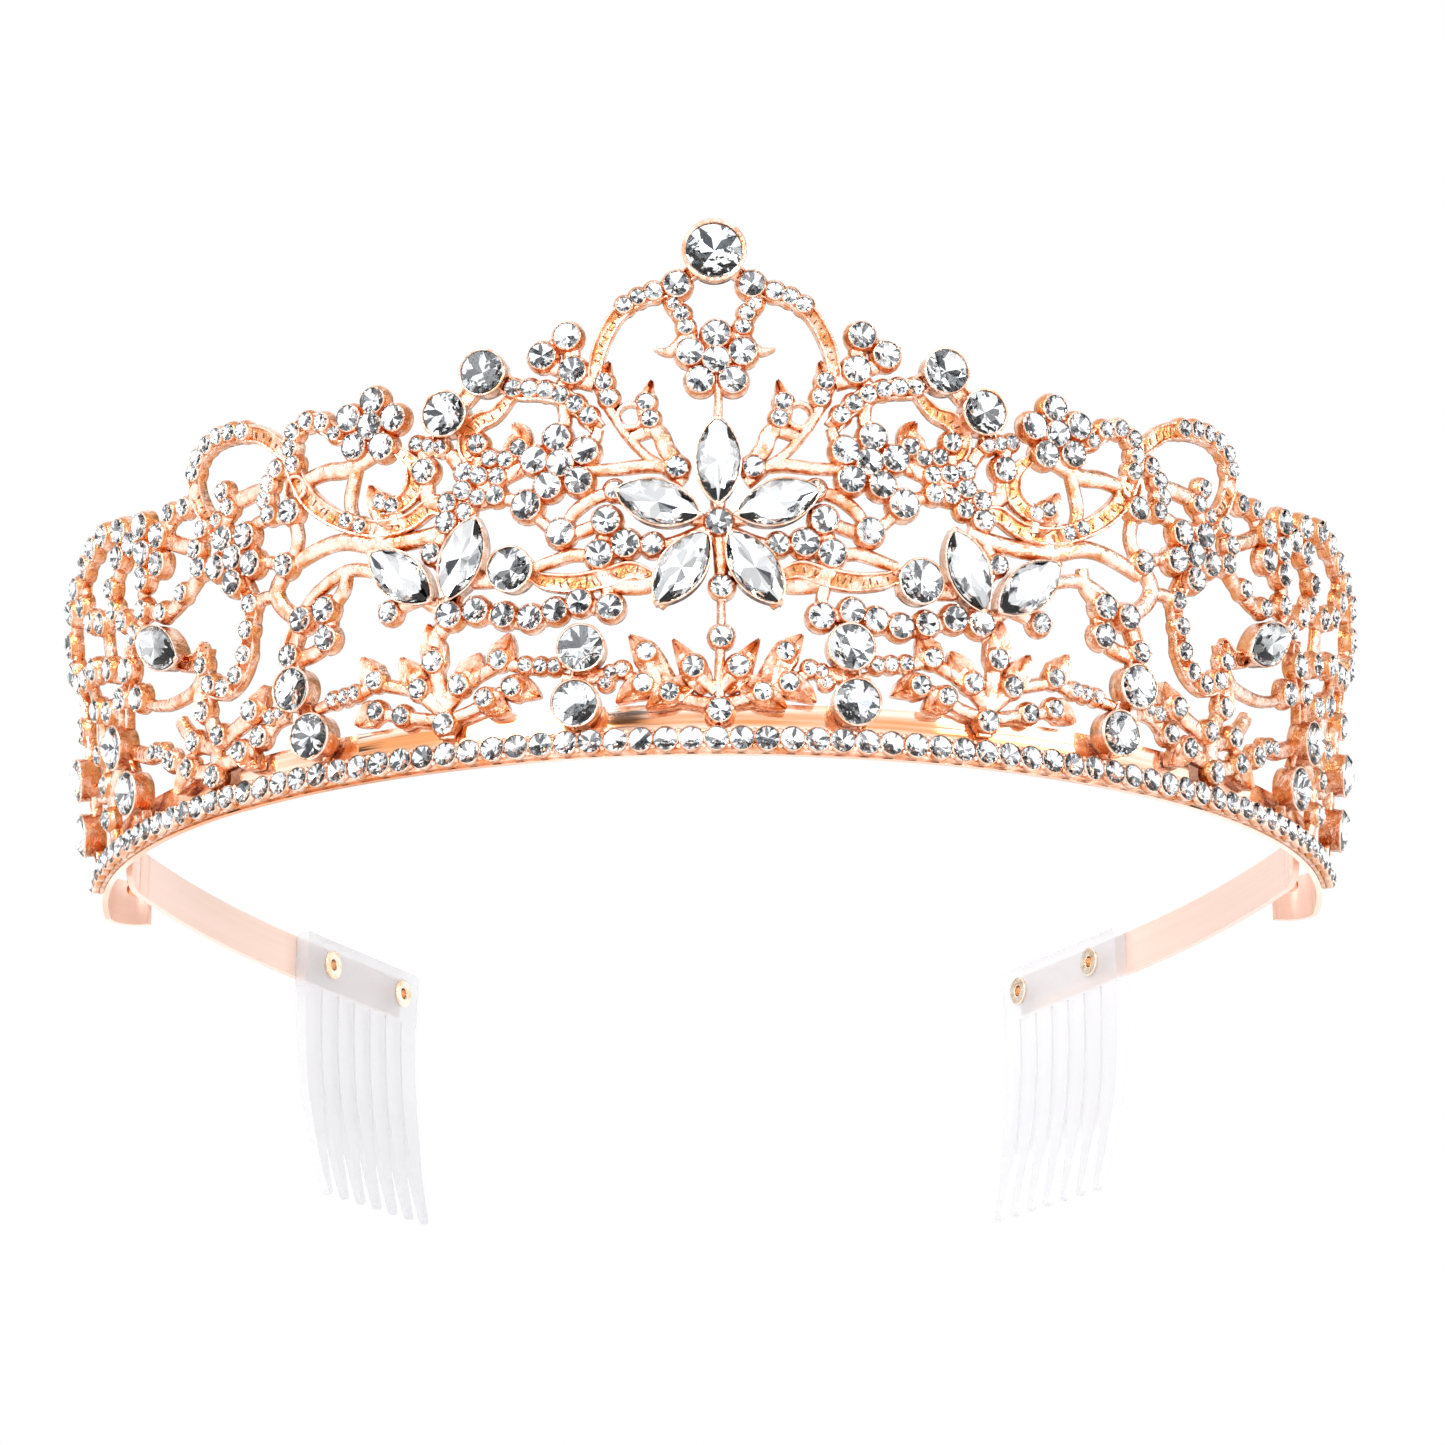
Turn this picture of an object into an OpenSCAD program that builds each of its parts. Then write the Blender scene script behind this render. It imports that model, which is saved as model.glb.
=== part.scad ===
// Bridal tiara: a flat liner band with a cup chain along its foot, openwork castings soldered above it,
// crystal stones, two flat arms and two clear side combs held by eyelets.
// The front faces -Y, +Z is up. X = 0 is the middle of the tiara, Z = 0 is the level of the comb tips.
// Places on the openwork are [s, h]: s is measured along the band from its middle and h up from its foot.

/* [Band] */
// Height of the liner band
band_h = 6; // [5:0.5:7]
// Thickness of the liner band
band_t = 0.8; // [0.6:0.1:1]
// Radius of the front of the band
front_r = 86; // [84:1:88]
// Radius of the sides of the band
side_r = 71; // [70:1:73]
// Lean of the openwork away from the head
flare = 8; // [4:1:10]

/* [Castings] */
// Thickness of the cast openwork
cast_t = 1.2; // [1:0.1:1.4]
// Wall of a stone's cup
cup_wall = 0.3; // [0.2:0.05:0.4]

/* [Stones] */
// Radius of a stone in the cup chain
row_r = 1.3; // [1.1:0.05:1.35]
// Radius of a large round stone
big_r = 2.5; // [2.2:0.1:2.6]
// Radius of the top stone
top_r = 3.2; // [2.8:0.1:3.4]
// Length of a navette stone
navette_l = 10; // [9:0.5:10.5]
// Width of a navette stone
navette_w = 5; // [4:0.5:5.5]

/* [Arms and combs] */
// Width of an arm
arm_w = 5.8; // [5:0.1:6]
// Thickness of an arm
arm_t = 0.9; // [0.7:0.1:1.1]
// Length of a comb along its arm
comb_l = 30; // [28:1:32]
// Height of a comb from the top of its bar to the tips
comb_h = 37; // [34:1:40]
// Thickness of a comb at its bar
comb_t = 1.7; // [1.5:0.1:2]
// Number of teeth on a comb
teeth = 7; // [6:1:8]

/* [Hidden] */
SIDES = ["left", "right"];
UNITS = ["round_pair", "leaf_sprig", "cup_row", "star_spray", "shoulder_scroll", "navette_spray",
         "outer_scroll", "outer_post", "outer_sprig", "side_arch", "side_hook", "side_spray", "end_spray",
         "crest_leg"];

gold = [0.95, 0.70, 0.56];
satin = [0.96, 0.80, 0.73];
crystal = [0.85, 0.88, 0.92];
clear = [0.90, 0.91, 0.95, 0.5];

// Levels
comb_top = arm_w + 0.5;     // top of a comb's bar above the foot of the band
band_z = comb_h - comb_top; // foot of the band above the comb tips
flare_h = 3;                // the openwork starts to lean above this height
row_h = 1.5;                // middle of the cup chain
crest_h = 58;               // middle of the top stone

// Offsets outward from the band's curve
cast_back = -1;
cast_front = cast_back + cast_t;

// Plan: a front arc, a side arc on each side, and a tight return at each end
front_a = 42;
side_a = 46;
return_r = 3;
return_a = 120;
front_len = front_r * front_a * PI / 180;
side_x = (front_r - side_r) * sin(front_a);
side_y = front_r - (front_r - side_r) * cos(front_a);
row_pitch = 2.9;
row_n = 37;

// Arms: a bent stretch from the end of the band, then a straight one that the comb is fixed to
arm_x = 74.2;
arm_y = 60;
arm_r = 200;
arm_a0 = 13;
arm_a1 = 27;
arm_end = comb_l - 4;

// From the front of the band's curve to the origin, halfway between the top stone and the combs' ends
comb_start = -2;
back_y = arm_y + arm_r * (sin(arm_a1) - sin(arm_a0)) + (comb_l + comb_start) * cos(arm_a1);
front_y = -(crest_h - flare_h) * tan(flare) - top_r;
y_shift = -(back_y + front_y) / 2;

function heading(s) = abs(s) <= front_len ? s / front_r * 180 / PI
    : sign(s) * (front_a + (abs(s) - front_len) / side_r * 180 / PI);
function plan(s, d) = let (a = heading(s))
    abs(s) <= front_len ? [(front_r + d) * sin(a), front_r - (front_r + d) * cos(a)]
    : [sign(s) * side_x + (side_r + d) * sin(a), side_y - (side_r + d) * cos(a)];
function lean(h) = max(h - flare_h, 0) * tan(flare);
function at(s, h, d) = let (p = plan(s, d + lean(h))) [p.x, p.y + y_shift, h + band_z];
function outward(s) = let (a = heading(s))
    [sin(a) * cos(flare), -cos(a) * cos(flare), -sin(flare)];

// A smooth line through a list of [s, h] points
function spline(p, n) = let (m = len(p) - 1) [
    for (i = [0 : m - 1], k = [0 : n - 1])
        let (t = k / n, a = p[max(i - 1, 0)], b = p[i], c = p[i + 1], d = p[min(i + 2, m)])
        0.5 * (2 * b + (c - a) * t + (2 * a - 5 * b + 4 * c - d) * t * t
            + (3 * b - a - 3 * c + d) * t * t * t),
    p[m]];
function span(w, t) = let (x = t * (len(w) - 1), i = min(floor(x), len(w) - 2))
    w[i] + (w[i + 1] - w[i]) * (x - i);

// A cast wire along [s, h] points; w lists its widths from end to end
module wire(p, w) {
    q = spline(p, w[0] > 1.45 ? 2 : 1);
    m = len(q) - 1;
    c = [for (a = q) at(a[0], a[1], cast_back + cast_t / 2)];
    rings = [for (i = [0 : m])
        let (
            run = c[min(i + 1, m)] - c[max(i - 1, 0)],
            up = outward(q[i][0]),
            over = cross(run / norm(run), up) * span(w, i / m) / 2,
            out = up * cast_t / 2)
        each [c[i] + over + out, c[i] - over + out, c[i] - over - out, c[i] + over - out]];
    polyhedron(rings, concat(
        [[3, 2, 1, 0], [for (k = [0 : 3]) 4 * m + k]],
        [for (i = [0 : m - 1], k = [0 : 3])
            let (j = (k + 1) % 4)
            [4 * i + k, 4 * i + j, 4 * i + 4 + j, 4 * i + 4 + k]]), convexity = 6);
}

// Places children at [s, h] with their Z along the outward direction
module place(s, h, d = cast_front) {
    a = heading(s);
    translate(at(s, h, d))
        rotate([0, 0, a]) rotate([90 + flare, 0, 0]) children();
}

// The openwork of one side. Each casting is [wires, stones, navettes]:
// a wire is [widths, points], a stone is [s, h, radius] and a navette is [s, h, turn].
thin = [0.7, 1.1, 0.7];
even = [1.2, 1.2];
stout = [1.5, 1.7, 1.5];
leaf = [0.5, 2.2, 0.4];
rim = [1.9, 1.9];
small_r = 0.85;
mid_r = 1.1;
claw_r = 1.45;

function petals(s, h, r, turn, size) = [for (k = [0 : 4])
    [s + r * cos(turn + 72 * k), h + r * sin(turn + 72 * k), size]];
function flower(s, h, turn, size) = concat([[s, h, size]], petals(s, h, 3, turn, size));
function spokes(s, h, turn) = let (p = petals(s, h, 3.2, turn, 0), c = [s, h])
    [[even, [[p[0].x, p[0].y], c, [p[2].x, p[2].y]]],
     [even, [[p[1].x, p[1].y], c, [p[3].x, p[3].y]]],
     [even, [c, [p[4].x, p[4].y]]]];

round_pair = [
    [[stout, [[15.6, 3.4], [15.9, 5.7], [15.1, 12], [14.8, 15.2]]],
     [thin, [[13.4, 9.3], [15.5, 8.8], [17.6, 9.3]]]],
    [[15.1, 12, big_r], [15.9, 5.7, big_r]], []];
leaf_sprig = [
    [[even, [[32, 3.6], [32, 5.1], [32.6, 8.5], [33, 12.5], [33.2, 14.2]]],
     [leaf, [[33, 13.4], [33.2, 15.4], [33.3, 17.2]]],
     [even, [[32.4, 7], [30, 9.4], [28.7, 11]]],
     [leaf, [[29, 10.6], [28, 11.8], [27.1, 13]]],
     [even, [[32.4, 7], [35, 9.5], [36, 11.5]]],
     [leaf, [[35.6, 11], [36.4, 12.3], [37, 13.8]]],
     [thin, [[32.2, 5.6], [28.5, 6.6], [26.8, 7.6], [24.5, 8.4], [22.4, 8]]],
     [leaf, [[23.2, 8.6], [21.8, 8.2], [20.2, 7.3]]],
     [leaf, [[26.4, 7.4], [25.2, 6.6], [24, 6]]],
     [thin, [[32.2, 5.6], [35.4, 6.4], [37.4, 6.8], [40.7, 7.7], [42, 7.4]]],
     [leaf, [[41.4, 7.8], [42.4, 7.3], [43.6, 6.6]]],
     [thin, [[30, 9.4], [27.4, 10.6], [25, 11.8], [24.2, 13]]],
     [leaf, [[24.8, 12.4], [24.1, 13.6], [23.5, 15]]],
     [thin, [[25, 11.8], [21.9, 10.9], [20.1, 10.7], [18.4, 10.6], [17.2, 11]]],
     [thin, [[35, 9.5], [38, 10.4], [40.6, 11.3], [41.6, 12.6]]],
     [leaf, [[41, 12], [41.6, 13.2], [42.1, 14.6]]],
     [thin, [[40.6, 11.3], [43.5, 10.3], [45, 10.1], [46.6, 10], [49.2, 9.6]]]],
    [[33, 12.5, mid_r], [32, 5.1, 1.15], [30, 9.4, 1.05], [35, 9.5, 1.05], [40.6, 11.3, 0.95],
     [25, 11.8, 0.95], [23.6, 8.5, 0.95], [26.9, 7.5, 0.9], [40.7, 7.7, 0.9], [37.4, 6.7, 0.9],
     [21.9, 10.9, 0.65], [20.1, 10.7, 0.65], [18.5, 10.5, 0.65],
     [43.5, 10.3, 0.65], [45, 10.1, 0.65], [46.6, 10, 0.65]], []];
cup_row = [
    [[even, [[10.6, 16.2], [11.9, 16.9], [15.4, 17.7], [18.2, 16.9], [21.1, 16.3], [24.2, 16.9],
             [27.5, 17.8], [30.7, 17.6], [32.4, 18.4]]],
     [even, [[33.1, 14.6], [32.4, 16.2], [30.7, 17.6]]]],
    [[11.9, 16.9, 1.35], [15.4, 17.7, 1.3], [18.2, 16.9, 1.25], [21.1, 16.3, 1.3],
     [24.2, 16.9, 1.25], [27.5, 17.8, 1.35], [30.7, 17.6, 1.4]], []];
star_spray = [
    [[thin, [[7.4, 24.1], [10, 24.2], [12.1, 27], [14.8, 26.4], [17.3, 25.9], [19.4, 27.6], [21.1, 29.4]]],
     [even, [[12.1, 27], [12.6, 25], [13, 23.1], [12.6, 21], [11, 19.8], [8, 19.6], [5.6, 20.6]]],
     [rim, [[7, 20.4], [9.4, 21.4], [12.4, 20.6], [16, 20.2], [19.6, 20.8], [21, 22]]],
     [thin, [[13, 23.1], [16, 23.6], [18.6, 23], [20.6, 22.4]]],
     [thin, [[10.4, 30.6], [13.4, 30.2], [16, 28.4], [17.3, 25.9]]],
     [thin, [[12.6, 21], [12.2, 19], [11.9, 17.2]]]],
    [[12.1, 27, claw_r], [10, 24.2, claw_r], [13, 23.1, claw_r], [17.3, 25.9, claw_r],
     [21.1, 29.4, 1.6], [11.2, 30.6, 0.9], [7, 24, mid_r]], []];
shoulder_scroll = [
    concat(spokes(17.1, 34.1, 84),
    [[even, [[13.2, 43.6], [15.5, 44.9], [16, 49], [18.8, 46.9], [15.5, 44.9]]],
     [stout, [[12.9, 38.2], [14.6, 40.4], [17, 42.4], [19.5, 43.2], [22, 43.6], [25.3, 45.3],
              [29.9, 41], [31.2, 38.4]]],
     [rim, [[22, 43.6], [24.4, 41], [26.6, 40.2], [27.8, 38.4], [27.4, 36.4], [25.4, 35.2],
            [23.4, 35.2], [21.8, 36.4]]],
     [leaf, [[22.3, 36], [21.6, 38.2], [22.4, 39.6]]],
     [even, [[15.8, 44.7], [16.6, 43.7], [17.2, 42.7]]],
     [thin, [[17, 42.4], [16.6, 39.4], [17.3, 37.1]]],
     [even, [[19.9, 35], [22.6, 34], [24.5, 33.4], [26.6, 33.2], [28.3, 34]]],
     [even, [[24.8, 31.2], [26.6, 33.2], [26.6, 36]]],
     [even, [[24.8, 31.2], [27, 30.9], [30, 30.9], [30.4, 28.6]]],
     [even, [[27, 30.9], [28.6, 31.9], [28.3, 34], [30, 37]]],
     [even, [[28.7, 29.3], [30, 30.9], [33, 32], [33, 35], [33.4, 38.3]]],
     [thin, [[21.1, 29.4], [22.8, 30.6], [24.8, 31.2]]],
     [thin, [[15.2, 31.6], [14.4, 33.4], [13.6, 36], [12.9, 38.2]]],
     [thin, [[4.6, 33.2], [7.6, 33.6], [10.8, 33.4], [14, 33.4]]]]),
    concat(flower(17.1, 34.1, 84, claw_r),
        [[16, 49, claw_r], [18.8, 46.9, claw_r], [15.5, 44.9, claw_r],
         [25.3, 45.3, big_r], [29.9, 41, big_r],
         [22.2, 43.5, small_r], [20.4, 43.3, small_r], [18.6, 42.9, small_r], [16.9, 42.2, small_r],
         [15.3, 41, small_r], [13.9, 39.5, small_r],
         [21.8, 36.4, small_r], [23.4, 35.2, 0.8], [25.2, 35.5, 0.8],
         [26.6, 37.4, 0.95], [24.4, 33.3, 0.85], [26.5, 33.6, 0.9], [28.3, 34.3, 0.95],
         [24.7, 31.1, 0.95], [28.5, 32.1, 0.95], [26.8, 31.1, 0.8], [30.4, 30.9, 0.95],
         [28.4, 29.6, 0.85], [30.6, 28.6, mid_r],
         [33.8, 38.4, 0.7], [32.4, 38, 0.7], [31, 37.6, 0.7], [33, 35, 1.3]]), []];
navette_spray = [
    [[even, [[20.6, 21.6], [23, 21.8], [25.6, 21.6], [29, 21.6], [31.6, 19.2], [34, 20.4], [38.6, 25]]],
     [stout, [[30.8, 19.2], [29.6, 21.6], [28.7, 23.8], [27.2, 27.2]]],
     [thin, [[29.6, 21.6], [31.4, 23.4], [32.6, 25.2], [31.6, 27], [30.6, 28.4]]],
     [thin, [[34, 20.4], [36.4, 20], [38.3, 19]]],
     [thin, [[31.6, 19.2], [31.4, 18.2], [30.9, 17.4]]],
     [thin, [[36.2, 22.7], [40.6, 24.6], [44, 25.2], [48, 23.6], [50.4, 21.6]]]],
    [[23, 21.8, 2.45], [32.6, 25.2, 1], [38.3, 19, mid_r]],
    [[36.2, 22.7, 41], [28.7, 23.8, 113]]];
outer_scroll = [
    concat(spokes(39.4, 41.5, 100),
    [[stout, [[41.8, 41.4], [44.1, 41.8], [46.2, 43.6], [48.4, 43.9], [50.2, 42.6], [50.4, 40],
              [49.6, 37.2], [48.2, 34.6], [45.6, 32.2], [42.4, 30.4], [39, 29.4], [35.4, 29.6],
              [32.6, 31], [30.6, 30.4]]],
     [rim, [[36.2, 38.2], [34.4, 36], [34.6, 33.4], [36.6, 31.8], [39, 31.6]]],
     [leaf, [[38.4, 31.4], [39.4, 33], [39.9, 34.8]]],
     [even, [[39.4, 38.6], [43, 37.4], [46, 37.6], [48.6, 37.2]]],
     [thin, [[41.3, 38.8], [42.4, 35.6], [43, 33], [42.4, 30.4]]],
     [even, [[29, 28.6], [32, 27.8], [36, 27.4], [40, 27.6], [44, 28.8], [47.4, 28.6], [52.2, 27.2]]],
     [even, [[39, 29.6], [39.4, 27.5]]],
     [even, [[37, 31.7], [37.2, 29.5]]],
     [thin, [[50.4, 40], [51.6, 40.6], [52.4, 41.6]]]]),
    concat(flower(39.4, 41.5, 100, claw_r),
        [[44.2, 41.6, 0.75], [45.8, 43.3, 0.9], [47.9, 43.9, 0.9], [49.8, 43, 0.9],
         [50.4, 41.1, 0.9], [50.1, 39.1, 0.9],
         [37.2, 31.6, 0.75], [38.7, 32.3, 0.75], [41.5, 29.9, 0.75], [43.3, 30.9, 0.75]]), []];
outer_post = [
    [[stout, [[49.2, 3.4], [49.2, 5.8], [51.5, 11.8], [52.4, 16.3], [51.6, 19], [50.3, 20.2]]],
     [even, [[46.9, 17.3], [46.9, 20.8], [50.3, 20.2], [51.6, 18.6], [52.4, 16.3], [49.6, 16.2],
             [46.9, 17.3]]],
     [thin, [[46.9, 20.8], [44.6, 23], [44, 25.2]]],
     [even, [[50.3, 20.2], [53.4, 22.6], [54.2, 25], [52.2, 27.2]]]],
    [[51.5, 11.8, 2.4], [49.2, 5.8, big_r], [52.4, 16.3, 1.15],
     [46.9, 20.8, 1.35], [50.3, 20.2, 1.35], [46.9, 17.3, 1.3]], []];
outer_sprig = [
    [[even, [[66.2, 3.4], [66.2, 6], [66, 9.4], [67.2, 12.7], [67.6, 14.4]]],
     [leaf, [[67.3, 13.6], [67.6, 15], [67.8, 16.4]]],
     [even, [[66.1, 8.2], [63.4, 9.3], [60.9, 10.2], [59, 11], [57.6, 12.2]]],
     [leaf, [[58.8, 11.2], [57.4, 12.4], [56.4, 13.8]]],
     [even, [[66.1, 6], [63.8, 6], [61.2, 6.5], [57.9, 7.6], [55.8, 9.2], [53.6, 9.6]]],
     [even, [[66.1, 6], [68.6, 5.8], [71, 6.6], [74.6, 8.4], [76.5, 10], [80, 10.4]]],
     [even, [[66.1, 8.2], [69.4, 9.5], [71.4, 11.4], [72.6, 13]]],
     [leaf, [[60.9, 6.4], [59.4, 5.2], [58.4, 4.2]]],
     [leaf, [[71.6, 6.6], [73, 5.4], [74.4, 4.4]]]],
    [[66.2, 4.5, 1.2], [67.2, 12.7, mid_r], [59, 11, mid_r], [64.7, 9.2, 1.05], [69.4, 9.5, 1.05],
     [61.2, 6.5, 1.05], [57.9, 7.6, 1.05], [74.6, 8.4, 1.05], [71, 6.6, 1.05],
     [55.9, 9.6, 0.75], [54.5, 9.8, 0.55], [76.6, 10, 0.75], [78.3, 10.4, 0.75]], []];
side_arch = [
    concat(spokes(59.9, 29.9, 62),
    [[stout, [[50.4, 40.4], [52.2, 42], [54.4, 43.9], [57.2, 44.9], [60, 45.3], [62.6, 45],
              [64.8, 43.6], [65.8, 41], [65, 37.8], [62.7, 34.2]]],
     [even, [[51, 39], [52.6, 39], [53.9, 37.6], [54.6, 35.9], [54.2, 34], [50.9, 33.5]]],
     [even, [[53.6, 37.4], [56.6, 37.4], [59.6, 37.2], [61, 38.4]]],
     [even, [[61, 38.4], [60.3, 36.3], [61.6, 35.2], [62.3, 33.8]]],
     [thin, [[54.2, 34], [56.4, 33.6], [58.4, 32.8]]],
     [even, [[62.8, 31], [65.7, 30], [66.3, 32.5], [64.4, 35.9]]],
     [thin, [[52.2, 27.2], [50.6, 30], [50.9, 33.5], [50.2, 35]]],
     [thin, [[52.2, 27.2], [54.6, 28.4], [57, 29]]]]),
    concat(flower(59.9, 29.9, 62, 1.4),
        [[57.2, 44.9, 0.9], [59.2, 45.3, 0.9], [61.2, 45.3, 0.9], [63.1, 44.8, 0.9],
         [64.7, 43.7, 0.9], [65.6, 42, 0.9],
         [52.6, 39.1, 0.9], [53.9, 37.6, 0.9], [54.6, 35.8, 0.9], [54.1, 33.9, 0.9],
         [61, 38.4, 0.9], [60.3, 36.3, 0.9], [62.4, 35.2, 0.7],
         [50.9, 33.5, 1.3], [66.3, 32.6, 1], [65.9, 30.2, 1.1], [64.9, 34.8, 0.9],
         [52.2, 27.2, 1.2]]), []];
side_hook = [
    [[stout, [[59, 27], [57.9, 23.8], [58.7, 20.6], [59.3, 17.7], [60.9, 15.6], [63.2, 14.6],
              [65.7, 15.6], [66.8, 18.3], [66.2, 20.6]]],
     [thin, [[53.8, 24], [56, 24.4], [57.9, 23.8]]],
     [thin, [[67.8, 15.6], [66.8, 18.3]]]],
    [[57.9, 23.8, 0.95], [58.7, 20.8, 0.95], [59.4, 17.9, 0.95], [61, 15.7, 0.95],
     [63.3, 14.7, 0.95], [65.7, 15.7, 0.95], [66.8, 18.3, 0.95]], []];
side_spray = [
    [[even, [[65.6, 41], [67.8, 38.3], [70.6, 38.4], [73, 36.2], [76.5, 35], [73.5, 32.8], [77, 32.3]]],
     [even, [[66.2, 33], [69, 34], [73, 36.2], [76.3, 38.5], [79, 37], [81.5, 39.5]]],
     [even, [[76.5, 35], [79, 37], [82.5, 36.5]]],
     [stout, [[66.2, 20.6], [69.4, 19.4], [74.2, 22.2], [79.4, 25.2], [82.6, 25.8]]],
     [even, [[65.9, 30.2], [69.5, 28], [73.8, 26.8], [78, 28.3], [80.4, 25.8]]],
     [even, [[77, 32.3], [78.6, 30.4], [78, 28.3]]],
     [thin, [[67.4, 20.2], [67.6, 17.8], [69.6, 16], [74, 15.6], [78, 16.4], [80.6, 17.7]]]],
    [[76.3, 38.5, claw_r], [73, 36.2, 1.4], [79, 37, 1.4], [76.5, 35, claw_r], [73.5, 32.8, 1.4],
     [77.2, 32, 1.35], [81.5, 39.5, 1.4], [82.5, 36.4, 1.4], [67.8, 38.3, 0.95], [70.6, 38.4, 0.95],
     [73.8, 26.8, 0.95], [69.5, 28, 0.95], [78, 28.3, mid_r], [80.4, 25.8, mid_r]],
    [[74.2, 22.2, 31]]];
end_spray = [
    [[even, [[82.5, 36.4], [85.6, 33.6], [85.4, 30.6], [83, 28.4], [80.4, 25.8]]],
     [stout, [[81.5, 39.5], [86, 40.6], [91, 39.8], [96.4, 38.2], [101, 36.6], [105, 33.6],
              [105.6, 29.6], [103.4, 26.6], [98.6, 25.6], [94.6, 25.6], [89.4, 23.6]]],
     [even, [[85.4, 30.6], [89.4, 30], [93.6, 31.6], [96.6, 34.6], [96.4, 38.2]]],
     [even, [[82.9, 22], [88.6, 23.6], [89.4, 30]]],
     [stout, [[83.6, 3.4], [83.7, 6.4], [86.7, 13], [86, 16], [85.2, 19.1], [82.9, 22], [82.4, 25.4]]],
     [even, [[80.6, 17.7], [85.2, 19.1], [90, 18.6], [94.6, 20], [98.6, 25.6]]],
     [stout, [[103.8, 3.4], [104, 6.4], [103, 13], [102.6, 19.6], [103.4, 26.6]]],
     [even, [[86.7, 13], [90.4, 11.4], [94, 9.8], [98.4, 10.4], [103, 13]]],
     [even, [[94, 3.4], [94.2, 6.4], [94, 9.8], [95.6, 14.6], [94.6, 20]]],
     [even, [[80, 10.4], [82.4, 11.4], [86.7, 13]]]],
    [[83.7, 6.4, big_r], [86.7, 13, big_r], [104, 6.6, big_r], [103, 13.6, big_r],
     [86.2, 40.5, 1.3], [90, 40.1, 1.3], [94, 39, 1.3], [98.2, 37.6, 1.4], [102.4, 35.9, 1.5],
     [105.4, 32.6, 1.5], [105.2, 28.6, 1.5], [101.6, 26.2, 1.3], [97.8, 25.6, 1.3],
     [94, 25.4, 1.3], [85.6, 33.4, mid_r], [85.4, 30.4, mid_r], [83, 28.3, mid_r],
     [89.4, 30, 1.3], [93.4, 31.6, 1.2], [96.4, 34.6, 1.2], [88.4, 23.8, 1.2],
     [82.9, 22, 1.4], [80.7, 17.8, 1.4], [85.4, 19, 1.3], [90, 18.7, 1.2], [94.4, 20.2, 1.3],
     [103, 20.2, 1.5], [94.2, 6, 1.2], [94, 10.4, 1.1], [95.4, 14.6, 1.1]], []];
crest_leg = [
    [[[1.4, 1.1, 1.1, 1.4], [[13, 45], [11.4, 41], [9.8, 37.8], [7.4, 35], [5, 33.3], [2.6, 30.4]]],
     [leaf, [[7.5, 40], [7.4, 41.6], [6.9, 43.3]]],
     [even, [[7.5, 41], [7.3, 38.6], [7.6, 36.6], [7, 34.8]]],
     [leaf, [[11.5, 40.6], [11.8, 42.4], [12.2, 44]]]],
    [[7.5, 40.6, small_r], [7.2, 38.7, small_r], [11.5, 41.4, small_r], [4.2, 33, mid_r]], []];
sprays = [round_pair, leaf_sprig, cup_row, star_spray, shoulder_scroll, navette_spray, outer_scroll,
          outer_post, outer_sprig, side_arch, side_hook, side_spray, end_spray, crest_leg];
// The right side of these castings was soldered a little lower than the left
right_drop = [0, 0, 1.2, 0, 0, 1.6, 1.2, 0, 0, 0, 0, 0, 0, 0];
// The small open rings in two of these castings
function rings_of(name) = name == "side_arch" ? [[50.2, 36.4, 1.3]]
    : name == "crest_leg" ? [[9, 39.8, 1.3]] : [];

// The castings in the middle
crest_arch_wires = concat(
    [for (e = [-1, 1]) [[1.5, 1.7, 1.9, 1.9, 1.6],
        [for (p = [[0, 57.2], [2.3, 56.4], [3.9, 55], [6.2, 53.8], [8.3, 53.2], [10.2, 51.8], [11.5, 49.9],
                   [12.5, 47.6], [13, 45.4], [13.2, 43.4]]) [e * p.x, p.y]]]],
    [for (e = [-1, 1]) [[1.4, 1.4, 1.3, 0.5],
        [for (p = [[3.6, 54.4], [4.8, 52.8], [3.4, 50.9], [3.1, 49], [4.4, 47.6], [6.2, 47]])
            [e * p.x, p.y]]]],
    [[[3, 3], [[0, 55.6], [0, crest_h + 1]]]]);
crest_arch_stones = concat([[0, crest_h, top_r]],
    [for (e = [-1, 1], p = [[4, 54.6, 1.4], [6.5, 53.9, 0.9], [8.2, 53.3, 0.8], [9.7, 52.4, 0.8],
                            [4.4, 52.4, 0.6], [3.5, 51.2, 0.75], [3.1, 49.6, 0.75]]) [e * p.x, p.y, p.z]]);
crest_flower_wires = [
    [[1.2, 1.4, 1, 1.2], [[0.2, 49.2], [0.2, 45.6], [0.4, 41.5], [0.3, 38.4]]],
    [even, [[-3.4, 48.4], [-2.6, 46.5], [0.3, 46.1], [2.9, 46.5], [3.5, 48.4]]],
    [even, [[-1.8, 42.6], [-1, 44.3], [1.3, 44.5], [2.2, 42.6]]]];
crest_flower_stones = flower(0.2, 45.6, 90, claw_r);
star_tips = [for (k = [0 : 4]) [cos(90 + 72 * k), sin(90 + 72 * k)]];
star_c = [0.3, 26.5];
star_wires = concat(
    [for (tip = star_tips) [[1.5, 2.4, 1.4], [star_c + 0.7 * tip, star_c + 7 * tip, star_c + 11.6 * tip]]],
    [for (e = [-1, 1]) [thin, [for (p = [[0.8, 26.2], [4.4, 24.6], [7, 24], [8.8, 24]]) [e * p.x, p.y]]]],
    [[thin, [[0.3, 25], [0.6, 22], [0.7, 17.6]]]]);
star_stones = [[0.4, 26.5, 1.4], [0.7, 19, mid_r]];
star_set = [for (k = [0 : 4]) let (c = star_c + 6.9 * star_tips[k]) [c.x, c.y, 90 + 72 * k]];
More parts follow.
